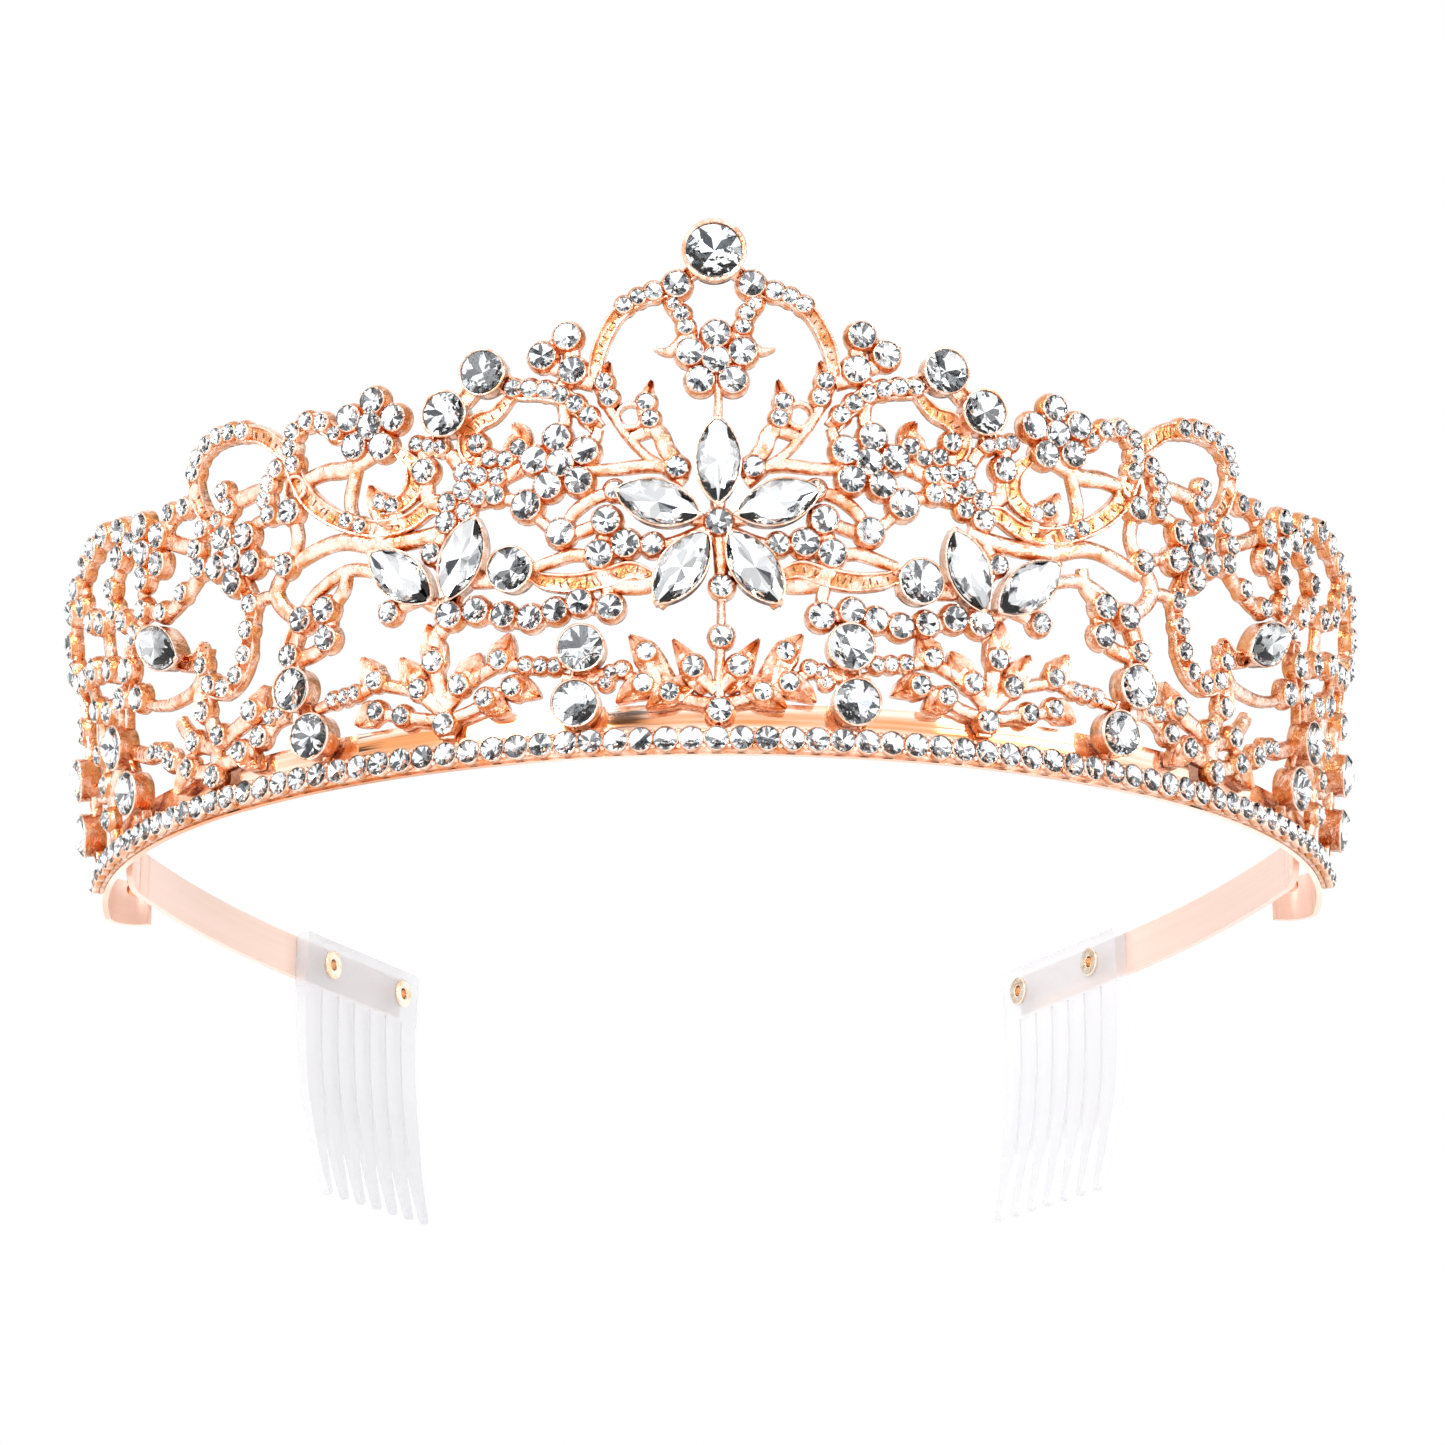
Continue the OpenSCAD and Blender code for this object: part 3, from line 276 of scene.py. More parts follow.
OUTER_SPRIG = [
    [[EVEN, [[66.2, 3.4], [66.2, 6], [66, 9.4], [67.2, 12.7], [67.6, 14.4]]],
     [LEAF, [[67.3, 13.6], [67.6, 15], [67.8, 16.4]]],
     [EVEN, [[66.1, 8.2], [63.4, 9.3], [60.9, 10.2], [59, 11], [57.6, 12.2]]],
     [LEAF, [[58.8, 11.2], [57.4, 12.4], [56.4, 13.8]]],
     [EVEN, [[66.1, 6], [63.8, 6], [61.2, 6.5], [57.9, 7.6], [55.8, 9.2], [53.6, 9.6]]],
     [EVEN, [[66.1, 6], [68.6, 5.8], [71, 6.6], [74.6, 8.4], [76.5, 10], [80, 10.4]]],
     [EVEN, [[66.1, 8.2], [69.4, 9.5], [71.4, 11.4], [72.6, 13]]],
     [LEAF, [[60.9, 6.4], [59.4, 5.2], [58.4, 4.2]]],
     [LEAF, [[71.6, 6.6], [73, 5.4], [74.4, 4.4]]]],
    [[66.2, 4.5, 1.2], [67.2, 12.7, MID_R], [59, 11, MID_R], [64.7, 9.2, 1.05], [69.4, 9.5, 1.05],
     [61.2, 6.5, 1.05], [57.9, 7.6, 1.05], [74.6, 8.4, 1.05], [71, 6.6, 1.05],
     [55.9, 9.6, 0.75], [54.5, 9.8, 0.55], [76.6, 10, 0.75], [78.3, 10.4, 0.75]], []]
SIDE_ARCH = [
    concat(spokes(59.9, 29.9, 62),
    [[STOUT, [[50.4, 40.4], [52.2, 42], [54.4, 43.9], [57.2, 44.9], [60, 45.3], [62.6, 45],
              [64.8, 43.6], [65.8, 41], [65, 37.8], [62.7, 34.2]]],
     [EVEN, [[51, 39], [52.6, 39], [53.9, 37.6], [54.6, 35.9], [54.2, 34], [50.9, 33.5]]],
     [EVEN, [[53.6, 37.4], [56.6, 37.4], [59.6, 37.2], [61, 38.4]]],
     [EVEN, [[61, 38.4], [60.3, 36.3], [61.6, 35.2], [62.3, 33.8]]],
     [THIN, [[54.2, 34], [56.4, 33.6], [58.4, 32.8]]],
     [EVEN, [[62.8, 31], [65.7, 30], [66.3, 32.5], [64.4, 35.9]]],
     [THIN, [[52.2, 27.2], [50.6, 30], [50.9, 33.5], [50.2, 35]]],
     [THIN, [[52.2, 27.2], [54.6, 28.4], [57, 29]]]]),
    concat(flower(59.9, 29.9, 62, 1.4),
        [[57.2, 44.9, 0.9], [59.2, 45.3, 0.9], [61.2, 45.3, 0.9], [63.1, 44.8, 0.9],
         [64.7, 43.7, 0.9], [65.6, 42, 0.9],
         [52.6, 39.1, 0.9], [53.9, 37.6, 0.9], [54.6, 35.8, 0.9], [54.1, 33.9, 0.9],
         [61, 38.4, 0.9], [60.3, 36.3, 0.9], [62.4, 35.2, 0.7],
         [50.9, 33.5, 1.3], [66.3, 32.6, 1], [65.9, 30.2, 1.1], [64.9, 34.8, 0.9],
         [52.2, 27.2, 1.2]]), []]
SIDE_HOOK = [
    [[STOUT, [[59, 27], [57.9, 23.8], [58.7, 20.6], [59.3, 17.7], [60.9, 15.6], [63.2, 14.6],
              [65.7, 15.6], [66.8, 18.3], [66.2, 20.6]]],
     [THIN, [[53.8, 24], [56, 24.4], [57.9, 23.8]]],
     [THIN, [[67.8, 15.6], [66.8, 18.3]]]],
    [[57.9, 23.8, 0.95], [58.7, 20.8, 0.95], [59.4, 17.9, 0.95], [61, 15.7, 0.95],
     [63.3, 14.7, 0.95], [65.7, 15.7, 0.95], [66.8, 18.3, 0.95]], []]
SIDE_SPRAY = [
    [[EVEN, [[65.6, 41], [67.8, 38.3], [70.6, 38.4], [73, 36.2], [76.5, 35], [73.5, 32.8], [77, 32.3]]],
     [EVEN, [[66.2, 33], [69, 34], [73, 36.2], [76.3, 38.5], [79, 37], [81.5, 39.5]]],
     [EVEN, [[76.5, 35], [79, 37], [82.5, 36.5]]],
     [STOUT, [[66.2, 20.6], [69.4, 19.4], [74.2, 22.2], [79.4, 25.2], [82.6, 25.8]]],
     [EVEN, [[65.9, 30.2], [69.5, 28], [73.8, 26.8], [78, 28.3], [80.4, 25.8]]],
     [EVEN, [[77, 32.3], [78.6, 30.4], [78, 28.3]]],
     [THIN, [[67.4, 20.2], [67.6, 17.8], [69.6, 16], [74, 15.6], [78, 16.4], [80.6, 17.7]]]],
    [[76.3, 38.5, CLAW_R], [73, 36.2, 1.4], [79, 37, 1.4], [76.5, 35, CLAW_R], [73.5, 32.8, 1.4],
     [77.2, 32, 1.35], [81.5, 39.5, 1.4], [82.5, 36.4, 1.4], [67.8, 38.3, 0.95], [70.6, 38.4, 0.95],
     [73.8, 26.8, 0.95], [69.5, 28, 0.95], [78, 28.3, MID_R], [80.4, 25.8, MID_R]],
    [[74.2, 22.2, 31]]]
END_SPRAY = [
    [[EVEN, [[82.5, 36.4], [85.6, 33.6], [85.4, 30.6], [83, 28.4], [80.4, 25.8]]],
     [STOUT, [[81.5, 39.5], [86, 40.6], [91, 39.8], [96.4, 38.2], [101, 36.6], [105, 33.6],
              [105.6, 29.6], [103.4, 26.6], [98.6, 25.6], [94.6, 25.6], [89.4, 23.6]]],
     [EVEN, [[85.4, 30.6], [89.4, 30], [93.6, 31.6], [96.6, 34.6], [96.4, 38.2]]],
     [EVEN, [[82.9, 22], [88.6, 23.6], [89.4, 30]]],
     [STOUT, [[83.6, 3.4], [83.7, 6.4], [86.7, 13], [86, 16], [85.2, 19.1], [82.9, 22], [82.4, 25.4]]],
     [EVEN, [[80.6, 17.7], [85.2, 19.1], [90, 18.6], [94.6, 20], [98.6, 25.6]]],
     [STOUT, [[103.8, 3.4], [104, 6.4], [103, 13], [102.6, 19.6], [103.4, 26.6]]],
     [EVEN, [[86.7, 13], [90.4, 11.4], [94, 9.8], [98.4, 10.4], [103, 13]]],
     [EVEN, [[94, 3.4], [94.2, 6.4], [94, 9.8], [95.6, 14.6], [94.6, 20]]],
     [EVEN, [[80, 10.4], [82.4, 11.4], [86.7, 13]]]],
    [[83.7, 6.4, BIG_R], [86.7, 13, BIG_R], [104, 6.6, BIG_R], [103, 13.6, BIG_R],
     [86.2, 40.5, 1.3], [90, 40.1, 1.3], [94, 39, 1.3], [98.2, 37.6, 1.4], [102.4, 35.9, 1.5],
     [105.4, 32.6, 1.5], [105.2, 28.6, 1.5], [101.6, 26.2, 1.3], [97.8, 25.6, 1.3],
     [94, 25.4, 1.3], [85.6, 33.4, MID_R], [85.4, 30.4, MID_R], [83, 28.3, MID_R],
     [89.4, 30, 1.3], [93.4, 31.6, 1.2], [96.4, 34.6, 1.2], [88.4, 23.8, 1.2],
     [82.9, 22, 1.4], [80.7, 17.8, 1.4], [85.4, 19, 1.3], [90, 18.7, 1.2], [94.4, 20.2, 1.3],
     [103, 20.2, 1.5], [94.2, 6, 1.2], [94, 10.4, 1.1], [95.4, 14.6, 1.1]], []]
CREST_LEG = [
    [[LEG, [[13.1, 45.6], [12.4, 42.4], [11, 39.4], [9.4, 36.8], [7.6, 34.8], [5.6, 33.2], [3.4, 31.4]]],
     [("leaf", [1.6, 2.2, 2.4, 0.3]), [[11.2, 40.6], [11.8, 42.4], [12, 44.2], [11.4, 46]]],
     [("leaf", [1.8, 2.4, 2.4, 0.3]), [[6.9, 37.4], [7.3, 39.2], [7.5, 41], [6.8, 43.6]]],
     [EVEN, [[7.2, 38.4], [6, 37.2], [5.4, 35.6], [4.6, 34.4], [3.8, 32.8]]],
     [THIN, [[7.2, 37.6], [8.2, 37.4], [9.4, 36.8]]]],
    [[7.5, 40.8, SMALL_R], [7.1, 38.8, SMALL_R], [12.1, 43.4, SMALL_R], [11.6, 41.5, SMALL_R],
     [4.2, 33, MID_R]], []]

SPRAYS = {
    "round_pair": ROUND_PAIR, "leaf_sprig": LEAF_SPRIG, "cup_row": CUP_ROW, "star_spray": STAR_SPRAY,
    "shoulder_scroll": SHOULDER_SCROLL, "navette_spray": NAVETTE_SPRAY, "outer_scroll": OUTER_SCROLL,
    "outer_post": OUTER_POST, "outer_sprig": OUTER_SPRIG, "side_arch": SIDE_ARCH, "side_hook": SIDE_HOOK,
    "side_spray": SIDE_SPRAY, "end_spray": END_SPRAY, "crest_leg": CREST_LEG}
# The right side of these castings sits a little lower than the left
RIGHT_DROP = {"cup_row": 1.2, "navette_spray": 1.6, "outer_scroll": 1.2}
RINGS = {"side_arch": [50.2, 36.4, 1.45], "crest_leg": [9.3, 39.5, 1.4]}

CREST_H = 58
CREST_ARCH = [
    [[("band", [1.7, 1.9, 1.9, 1.9, 1.6]), p] for p in both(
        [[0, 57.2], [2.3, 56.4], [3.9, 55], [6.2, 53.8], [8.3, 53.2], [10.2, 51.8], [11.5, 49.9],
         [12.5, 47.6], [13, 45.4], [13.2, 43.4]])]
    + [[("wire", [1.6, 1.8, 2.0, 2.3, 1.5, 0.3]), p] for p in both(
        [[3.6, 54.4], [4.8, 52.8], [3.4, 50.9], [2.8, 49.2], [3.6, 47.9], [5, 47], [6.6, 47.3]])],
    [[0, CREST_H, TOP_R]] + concat(*both(
        [[4, 54.6, 1.4], [6.5, 53.9, 0.9], [8.2, 53.3, 0.8], [9.7, 52.4, 0.8], [4.4, 52.4, 0.6],
         [3.5, 51.2, 0.75], [3.1, 49.6, 0.75]])), []]
CREST_FLOWER = [
    [[("wire", [1.2, 1.4, 1, 1.2]), [[0.2, 49.2], [0.2, 45.6], [0.4, 41.5], [0.3, 38.4]]],
     [EVEN, [[-3.4, 48.4], [-2.6, 46.5], [0.3, 46.1], [2.9, 46.5], [3.5, 48.4]]],
     [EVEN, [[-1.8, 42.6], [-1, 44.3], [1.3, 44.5], [2.2, 42.6]]]],
    flower(0.2, 45.6, 90, CLAW_R), []]
STAR_S, STAR_H = 0.3, 26.5
STAR_TIPS = [(math.cos(a), math.sin(a)) for a in (math.radians(90 + 72 * k) for k in range(5))]
STAR_FLOWER = [
    [[("wire", [1.5, 2.4, 1.4]), [[STAR_S + r * x, STAR_H + r * y] for r in (0.7, 7, 11.6)]]
     for x, y in STAR_TIPS]
    + [[THIN, p] for p in both([[0.8, 26.2], [4.4, 24.6], [7, 24], [8.8, 24]])]
    + [[THIN, [[0.3, 25], [0.6, 22], [0.7, 17.6]]]],
    [[0.4, 26.5, 1.4], [0.7, 19, MID_R]],
    [[STAR_S + 6.9 * x, STAR_H + 6.9 * y, 90 + 72 * k] for k, (x, y) in enumerate(STAR_TIPS)]]
CENTRE_SPRIG = [
    [[("wire", [1.5, 1.3, 1.2, 1]), [[0.4, 3.4], [0.4, 6], [0.4, 10], [0.6, 14], [0.6, 18]]]]
    + [[THIN, p] for p in both([[0, 7.2], [2.6, 9.7], [4, 11.4]])]
    + [[LEAF, p] for p in both([[2.2, 9], [3.2, 10.6], [4.9, 13.2]])]
    + [[THIN, p] for p in both([[0, 5.7], [3, 6.2], [5.3, 6.9], [8.3, 8], [11, 9.6], [14.6, 9.4]])]
    + [[LEAF, p] for p in both([[4.6, 7.3], [6.4, 6.3], [8, 5.2]])]
    + [[LEAF, p] for p in both([[7.6, 8.4], [9.8, 7.3], [11.4, 6]])]
    + [[THIN, p] for p in both([[6.6, 7.4], [7.2, 9.6], [7.9, 11.6]])]
    + [[LEAF, p] for p in both([[7.2, 10.4], [8.5, 12.3], [9.8, 13.8]])],
    [[0.6, 13.2, MID_R], [0.4, 4.7, 1.25]] + concat(*both(
        [[2.6, 9.8, MID_R], [7.9, 11.6, 0.9], [8.3, 8, 0.95], [5.3, 6.9, 0.9], [10.7, 9.7, 0.65],
         [12, 9.4, 0.55], [12.6, 8.2, 0.55]])), []]
MIDDLE = {"crest_arch": CREST_ARCH, "crest_flower": CREST_FLOWER, "star_flower": STAR_FLOWER,
          "centre_sprig": CENTRE_SPRIG}


def on_side(side, unit):
    """One casting's lists on the left or the right of the tiara."""
    e = 1 if side == "right" else -1
    drop = RIGHT_DROP.get(unit, 0) if side == "right" else 0
    wires, stones, navettes = SPRAYS[unit]
    return [
        [[kind, [[e * p[0], p[1] - drop] for p in points]] for kind, points in wires],
        [[e * s, h - drop, r] for s, h, r in stones],
        [[e * s, h - drop, turn if e > 0 else 180 - turn] for s, h, turn in navettes]]


# ---------- mesh work ----------

def placed(name, data):
    """A new object in the scene."""
    thing = bpy.data.objects.new(name, data)
    bpy.context.scene.collection.objects.link(thing)
    return thing


class Shape:
    """Closed shells gathered into one piece, in millimetres.
    relief is 0 in the recesses and 1 on the crests and sets the metal's painted shade, and each facet's value
    is how bright its foil is painted, a painted reflection."""

    def __init__(self):
        self.points, self.faces, self.relief, self.slots, self.painted_reflections = [], [], [], [], []
        self.count = 0

    def add(self, points, faces, relief, slots=None, painted_reflections=None):
        self.points.append(np.asarray(points, float))
        self.faces += [tuple(k + self.count for k in face) for face in faces]
        self.relief.append(np.broadcast_to(relief, len(points)))
        self.slots += slots or [0] * len(faces)
        self.painted_reflections += painted_reflections or [1.0] * len(faces)
        self.count += len(points)

    def build(self, name, materials, slot, replaces, crease=None):
        mesh = bpy.data.meshes.new(name)
        mesh.from_pydata((np.concatenate(self.points) * MM).tolist(), [], self.faces)
        work = bmesh.new()
        work.from_mesh(mesh)
        bmesh.ops.recalc_face_normals(work, faces=work.faces)
        work.to_mesh(mesh)
        work.free()
        mesh.attributes.new("relief", "FLOAT", "POINT").data.foreach_set(
            "value", np.concatenate(self.relief).astype(np.float32))
        # painted reflection: how bright each foil facet is painted
        mesh.attributes.new("painted_reflection", "FLOAT", "FACE").data.foreach_set("value", self.painted_reflections)
        for material in materials:
            mesh.materials.append(material)
        mesh.polygons.foreach_set("material_index", self.slots)
        if crease is not None:
            mesh.polygons.foreach_set("use_smooth", [True] * len(mesh.polygons))
            mesh.set_sharp_from_angle(angle=math.radians(crease))
        piece = placed(name, mesh)
        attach(piece, "root")
        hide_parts(replaces)


# Sections of a cast wire: across from -1 to 1, up from the back in parts of the casting's thickness,
# and relief, which sets the painted shade: dark brown at the foot of each flank, deep orange low on the
# flanks, pale on the crests
SECTIONS = {
    "wire": [(-0.9, 0, 0.75), (-1, 0.15, 0.1), (-1, 0.55, 0.3), (-0.8, 0.85, 0.6), (-0.35, 1.05, 1),
             (0.35, 1.05, 1), (0.8, 0.85, 0.6), (1, 0.55, 0.3), (1, 0.15, 0.1), (0.9, 0, 0.75)],
    "band": [(-0.9, 0, 0.75), (-1, 0.15, 0.1), (-1, 0.95, 0.4), (-0.88, 1.14, 1), (-0.7, 1.1, 1),
             (-0.58, 0.74, 0.4), (0.58, 0.74, 0.4), (0.7, 1.1, 1), (0.88, 1.14, 1), (1, 0.95, 0.4),
             (1, 0.15, 0.1), (0.9, 0, 0.75)],
    "leaf": [(-0.9, 0, 0.75), (-1, 0.15, 0.1), (-1, 0.85, 0.5), (-0.85, 1.15, 1), (-0.62, 0.9, 0.8),
             (-0.12, 0.62, 0.55), (0, 0.45, 0.3), (0.12, 0.62, 0.55), (0.62, 0.9, 0.8), (0.85, 1.15, 1),
             (1, 0.85, 0.5), (1, 0.15, 0.1), (0.9, 0, 0.75)]}
BEAD = [(0, 0, 1), (0.894, 0, 0.447), (0.276, 0.851, 0.447), (-0.724, 0.526, 0.447), (-0.724, -0.526, 0.447),
        (0.276, -0.851, 0.447), (0.724, 0.526, -0.447), (-0.276, 0.851, -0.447), (-0.894, 0, -0.447),
        (-0.276, -0.851, -0.447), (0.724, -0.526, -0.447), (0, 0, -1)]
BEAD_FACES = [(0, 1, 2), (0, 2, 3), (0, 3, 4), (0, 4, 5), (0, 5, 1), (1, 6, 2), (2, 7, 3), (3, 8, 4),
              (4, 9, 5), (5, 10, 1), (6, 7, 2), (7, 8, 3), (8, 9, 4), (9, 10, 5), (10, 6, 1),
              (11, 7, 6), (11, 8, 7), (11, 9, 8), (11, 10, 9), (11, 6, 10)]


def bead(shape, origin, axes, x, y, z, r, relief=1.0):
    shape.add(origin + (np.array([x, y, z]) + np.array(BEAD) * r) @ axes, BEAD_FACES, relief)


def tube_sides(n, m, closed=False):
    """Faces between m rings of n points, and from the last ring to the first if closed."""
    return [(i * n + k, i * n + (k + 1) % n, (i + 1) % m * n + (k + 1) % n, (i + 1) % m * n + k)
            for i in range(m if closed else m - 1) for k in range(n)]


def tube(n, m):
    """Faces of m rings of n points, with a face over each end."""
    return [tuple(range(n)), tuple((m - 1) * n + k for k in range(n))] + tube_sides(n, m)


def sweep(shape, points, kind):
    """A cast wire along [s, h] points, with milled marks down the middle of a band, painted dark brown as
    shade.
    """
    section, widths = SECTIONS[kind[0]], kind[1]
    if kind is LEAF:
        # a leaf starts behind the stone that it carries
        points = [[2.2 * a - 1.2 * b for a, b in zip(points[0], points[1])]] + points
    line = smooth_line(points, LINE_STEPS)
    m = len(line)
    middle = np.array([at(s, h, CAST_BACK) for s, h in line])
    rings, reliefs, notches = [], [], []
    travelled = 0.0
    for i, (s, h) in enumerate(line):
        run = middle[min(i + 1, m - 1)] - middle[max(i - 1, 0)]
        up = outward(s)
        over = np.cross(run / np.linalg.norm(run), up)
        width = between(widths, i / (m - 1))
        least = TIP_RELIEF if width < 1 else 0
        reliefs += [max(relief, least) for _, _, relief in section]
        rings += [middle[i] + over * a * width / 2 + up * b * CAST_T for a, b, _ in section]
        if i and kind[0] == "band":
            travelled += np.linalg.norm(middle[i] - middle[i - 1])
            if travelled > MARK_PITCH:
                travelled = 0.0
                notches.append((middle[i] + over * random.uniform(-0.2, 0.2) + up * 0.76 * CAST_T,
                                over + random.uniform(-0.5, 0.5) * run / np.linalg.norm(run), up, width))
    shape.add(rings, tube(len(section), m), reliefs)
    for origin, over, up, width in notches:
        axes = np.array([over * random.uniform(0.14, 0.24) * width, np.cross(up, over) * 0.12, up * 0.1])
        # relief 0 paints each milled mark dark brown as shade
        shape.add(origin + np.array(BEAD) @ axes, BEAD_FACES, 0.0)


def circle(r, n):
    return lambda grow, scale=1.0: [((scale * r + grow) * math.cos(a), (scale * r + grow) * math.sin(a))
                                    for a in (2 * math.pi * k / n for k in range(n))]


def pointed_oval(length, width, n):
    """An outline of two arcs that meet at the ends."""
    r = (length ** 2 + width ** 2) / (4 * width)
    half = math.asin(length / 2 / r)

    def outline(grow, scale=1.0):
        points = []
        for k in range(n):
            side = 1 if k < n / 2 else -1
            t = half * (1 - 4 * (k % (n // 2)) / n)
            x, y = r * math.sin(t) * side, (r * math.cos(t) - r + width / 2) * side
            out = (math.sin(t) * side, math.cos(t) * side)
            if k % (n // 2) == 0:
                out = (side * 1.5, 0)
            points.append((x * scale + out[0] * grow, y * scale + out[1] * grow))
        return points
    return outline


def turned(shape, origin, axes, outline, profile, reliefs):
    """A closed shell of rings (scale, grow, z) that follow an outline, closed at both ends."""
    n = len(outline(0))
    rings = [[x, y, z] for scale, grow, z in profile for x, y in outline(grow, scale)]
    shape.add(origin + np.array(rings) @ axes, tube(n, len(profile)), np.repeat(reliefs, n))


def brilliant(shape, origin, axes, outline, crown, depth, dark=0.27, deepest=0.03):
    """A faceted stone: a table, a crown of star, kite and girdle facets, and a foiled pavilion.
    dark is the share of pavilion facets whose foil is painted dark, a painted reflection of dark
    surroundings, and deepest is how dark they are."""
    girdle = outline(0)
    table = [(x * 0.56, y * 0.56, crown) for x, y in girdle[0::2]]
    stars = [(x * 0.80, y * 0.80, crown * 0.56) for x, y in girdle[1::2]]
    top = [(x, y, 0.05) for x, y in girdle]
    low = [(x, y, -0.05) for x, y in girdle]
    keel = [(x * 0.45, y * 0.45, -0.62 * depth) for x, y in girdle[1::2]]
    points = table + stars + top + low + keel + [(0, 0, -depth)]
    # the first point of the table, the stars, the girdle's top and foot, the pavilion and the keel's tip
    t, m, g, b, k, c = 0, 8, 16, 32, 48, 56
    crown_faces = [tuple(range(8))]
    foil_faces = []
    for i in range(8):
        j, two, three = (i + 1) % 8, 2 * i + 1, (2 * i + 2) % 16
        crown_faces += [(t + i, m + i, t + j), (t + j, m + i, g + three, m + j),
                        (m + i, g + 2 * i, g + two), (m + i, g + two, g + three)]
        foil_faces += [(c, k + i, b + three, k + j), (k + i, b + 2 * i, b + two), (k + i, b + two, b + three)]
    crown_faces += [(g + i, b + i, b + (i + 1) % 16, g + (i + 1) % 16) for i in range(16)]
    # the foil facets get a random painted reflection: a share dark, the rest near white
    shape.add(origin + np.array(points) @ axes, crown_faces + foil_faces, 1.0,
              [0] * len(crown_faces) + [1] * len(foil_faces),
              [1.0] * len(crown_faces)
              + [random.uniform(deepest, deepest + 0.25) if random.random() < dark
                 else random.uniform(0.75, 1) for _ in foil_faces])


# ---------- settings and stones ----------

def tipped(axes, amount=0.05):
    """A stone never sits quite level in its setting."""
    x, y = random.uniform(-amount, amount), random.uniform(-amount, amount)
    z = axes[2] + x * axes[0] + y * axes[1]
    z /= np.linalg.norm(z)
    across = axes[0] - z * (axes[0] @ z)
    across /= np.linalg.norm(across)
    return np.array([across, np.cross(z, across), z])


def seat_lift(r):
    return 0.4 * r


def cup_lift(r):
    return 0.25 + 0.5 * r


def round_cut(shape, origin, axes, r, proud, over):
    """A round stone that stands proud of its setting and reaches over its edge."""
    brilliant(shape, origin + proud * axes[2], tipped(axes), circle(r + over, 16), 0.34 * r, 0.4 * r)


def small_seat(shape, s, h, r):
    """A cast collar with a fine rim and grains pushed over the stone's edge."""
    lift = seat_lift(r)
    origin, axes = stand(s, h, CAST_FRONT + lift, turn=random.uniform(0, 6))
    # low relief inside the seat paints a dark brown shade ring around the stone, and low relief near its foot
    # paints shade there
    turned(shape, origin, axes, circle(r, 18),
           [(1, 0.5, -lift - CAST_T), (1, 0.6, -lift - CAST_T + 0.15), (1, 0.62, -lift - 0.45),
            (1, 0.5, -lift - 0.05), (1, 0.27, -0.14),
            (1, 0.2, 0.0), (1, 0.1, 0.05), (1, 0.05, 0.0), (0.9, 0, -0.2),
            (0.5, 0, -0.5 * r), (0.1, 0, -0.6 * r)],
           [0.75, 0.1, 0.4, 0.35, 0.15, 0.9, 1.0, 0.1, 0.0, 0.0, 0.0])
    size = 0.26 if r >= 1 else 0.18
    for k in range(GRAINS):
        a = 2 * math.pi * (k + 0.5) / GRAINS
        bead(shape, origin, axes, (r + 0.12) * math.cos(a), (r + 0.12) * math.sin(a), 0.08, size)


def cup(shape, s, h, r):
    """A deep turned cup with a rolled rim for a large round stone."""
    lift = cup_lift(r)
    origin, axes = stand(s, h, CAST_FRONT + lift)
    roll = 0.62 if r > 3 else 0.36
    # relief 0 inside the cup paints dark brown shade around the stone, and 0.1 near its foot paints shade
    # there
    turned(shape, origin, axes, circle(r, 36),
           [(1, 0.1, -lift - CAST_T), (1, 0.2, -lift - CAST_T + 0.15), (1, 0.28, -lift + 0.1),
            (1, 0.26, -0.3), (1, roll - 0.04, -0.1),
            (1, roll, 0.06), (1, roll - 0.1, 0.2), (1, 0.12, 0.16), (1, 0.05, 0.02), (0.93, 0, -0.25),
            (0.5, 0, -0.5 * r), (0.1, 0, -0.6 * r)],
           [0.75, 0.1, 0.3, 0.4, 0.8, 1.0, 1.0, 0.7, 0.0, 0.0, 0.0, 0.0])


def round_stone(shape, s, h, r):
    lift = cup_lift(r) if r >= CUP_FROM else seat_lift(r)
    origin, axes = stand(s, h, CAST_FRONT + lift, turn=random.uniform(0, 0.7))
    round_cut(shape, origin, axes, r, 0.1, 0.13)


NAVETTE = pointed_oval(NAVETTE_L, NAVETTE_W, 16)
NAVETTE_WALL = pointed_oval(NAVETTE_L, NAVETTE_W, 40)


def navette_box(shape, s, h, turn):
    origin, axes = stand(s, h, CAST_FRONT + NAVETTE_LIFT, turn=math.radians(turn))
    # relief 0.1 paints dark brown shade at the foot of the box
    turned(shape, origin, axes, NAVETTE_WALL,
           [(1, 0.1, -NAVETTE_LIFT - CAST_T), (1, 0.15, -NAVETTE_LIFT - CAST_T + 0.15), (1, 0.2, -0.3),
            (1, 0.28, -0.1), (1, 0.28, 0.06), (1, 0.16, 0.12), (1, 0.02, 0.04), (0.95, 0, -0.2),
            (0.5, 0, -0.9), (0.1, 0, -1.4)],
           [0.75, 0.1, 0.4, 0.8, 1.0, 1.0, 0.9, 1.0, 1.0, 1.0])
    for x, y in ((NAVETTE_L / 2, 0), (-NAVETTE_L / 2, 0)):
        bead(shape, origin, axes, x, y, 0.05, 0.42)


def navette_stone(shape, s, h, turn):
    origin, axes = stand(s, h, CAST_FRONT + NAVETTE_LIFT, turn=math.radians(turn))
    brilliant(shape, origin + 0.08 * axes[2], tipped(axes, 0.03), NAVETTE, 0.7, 0.42, 0.35, 0.45)


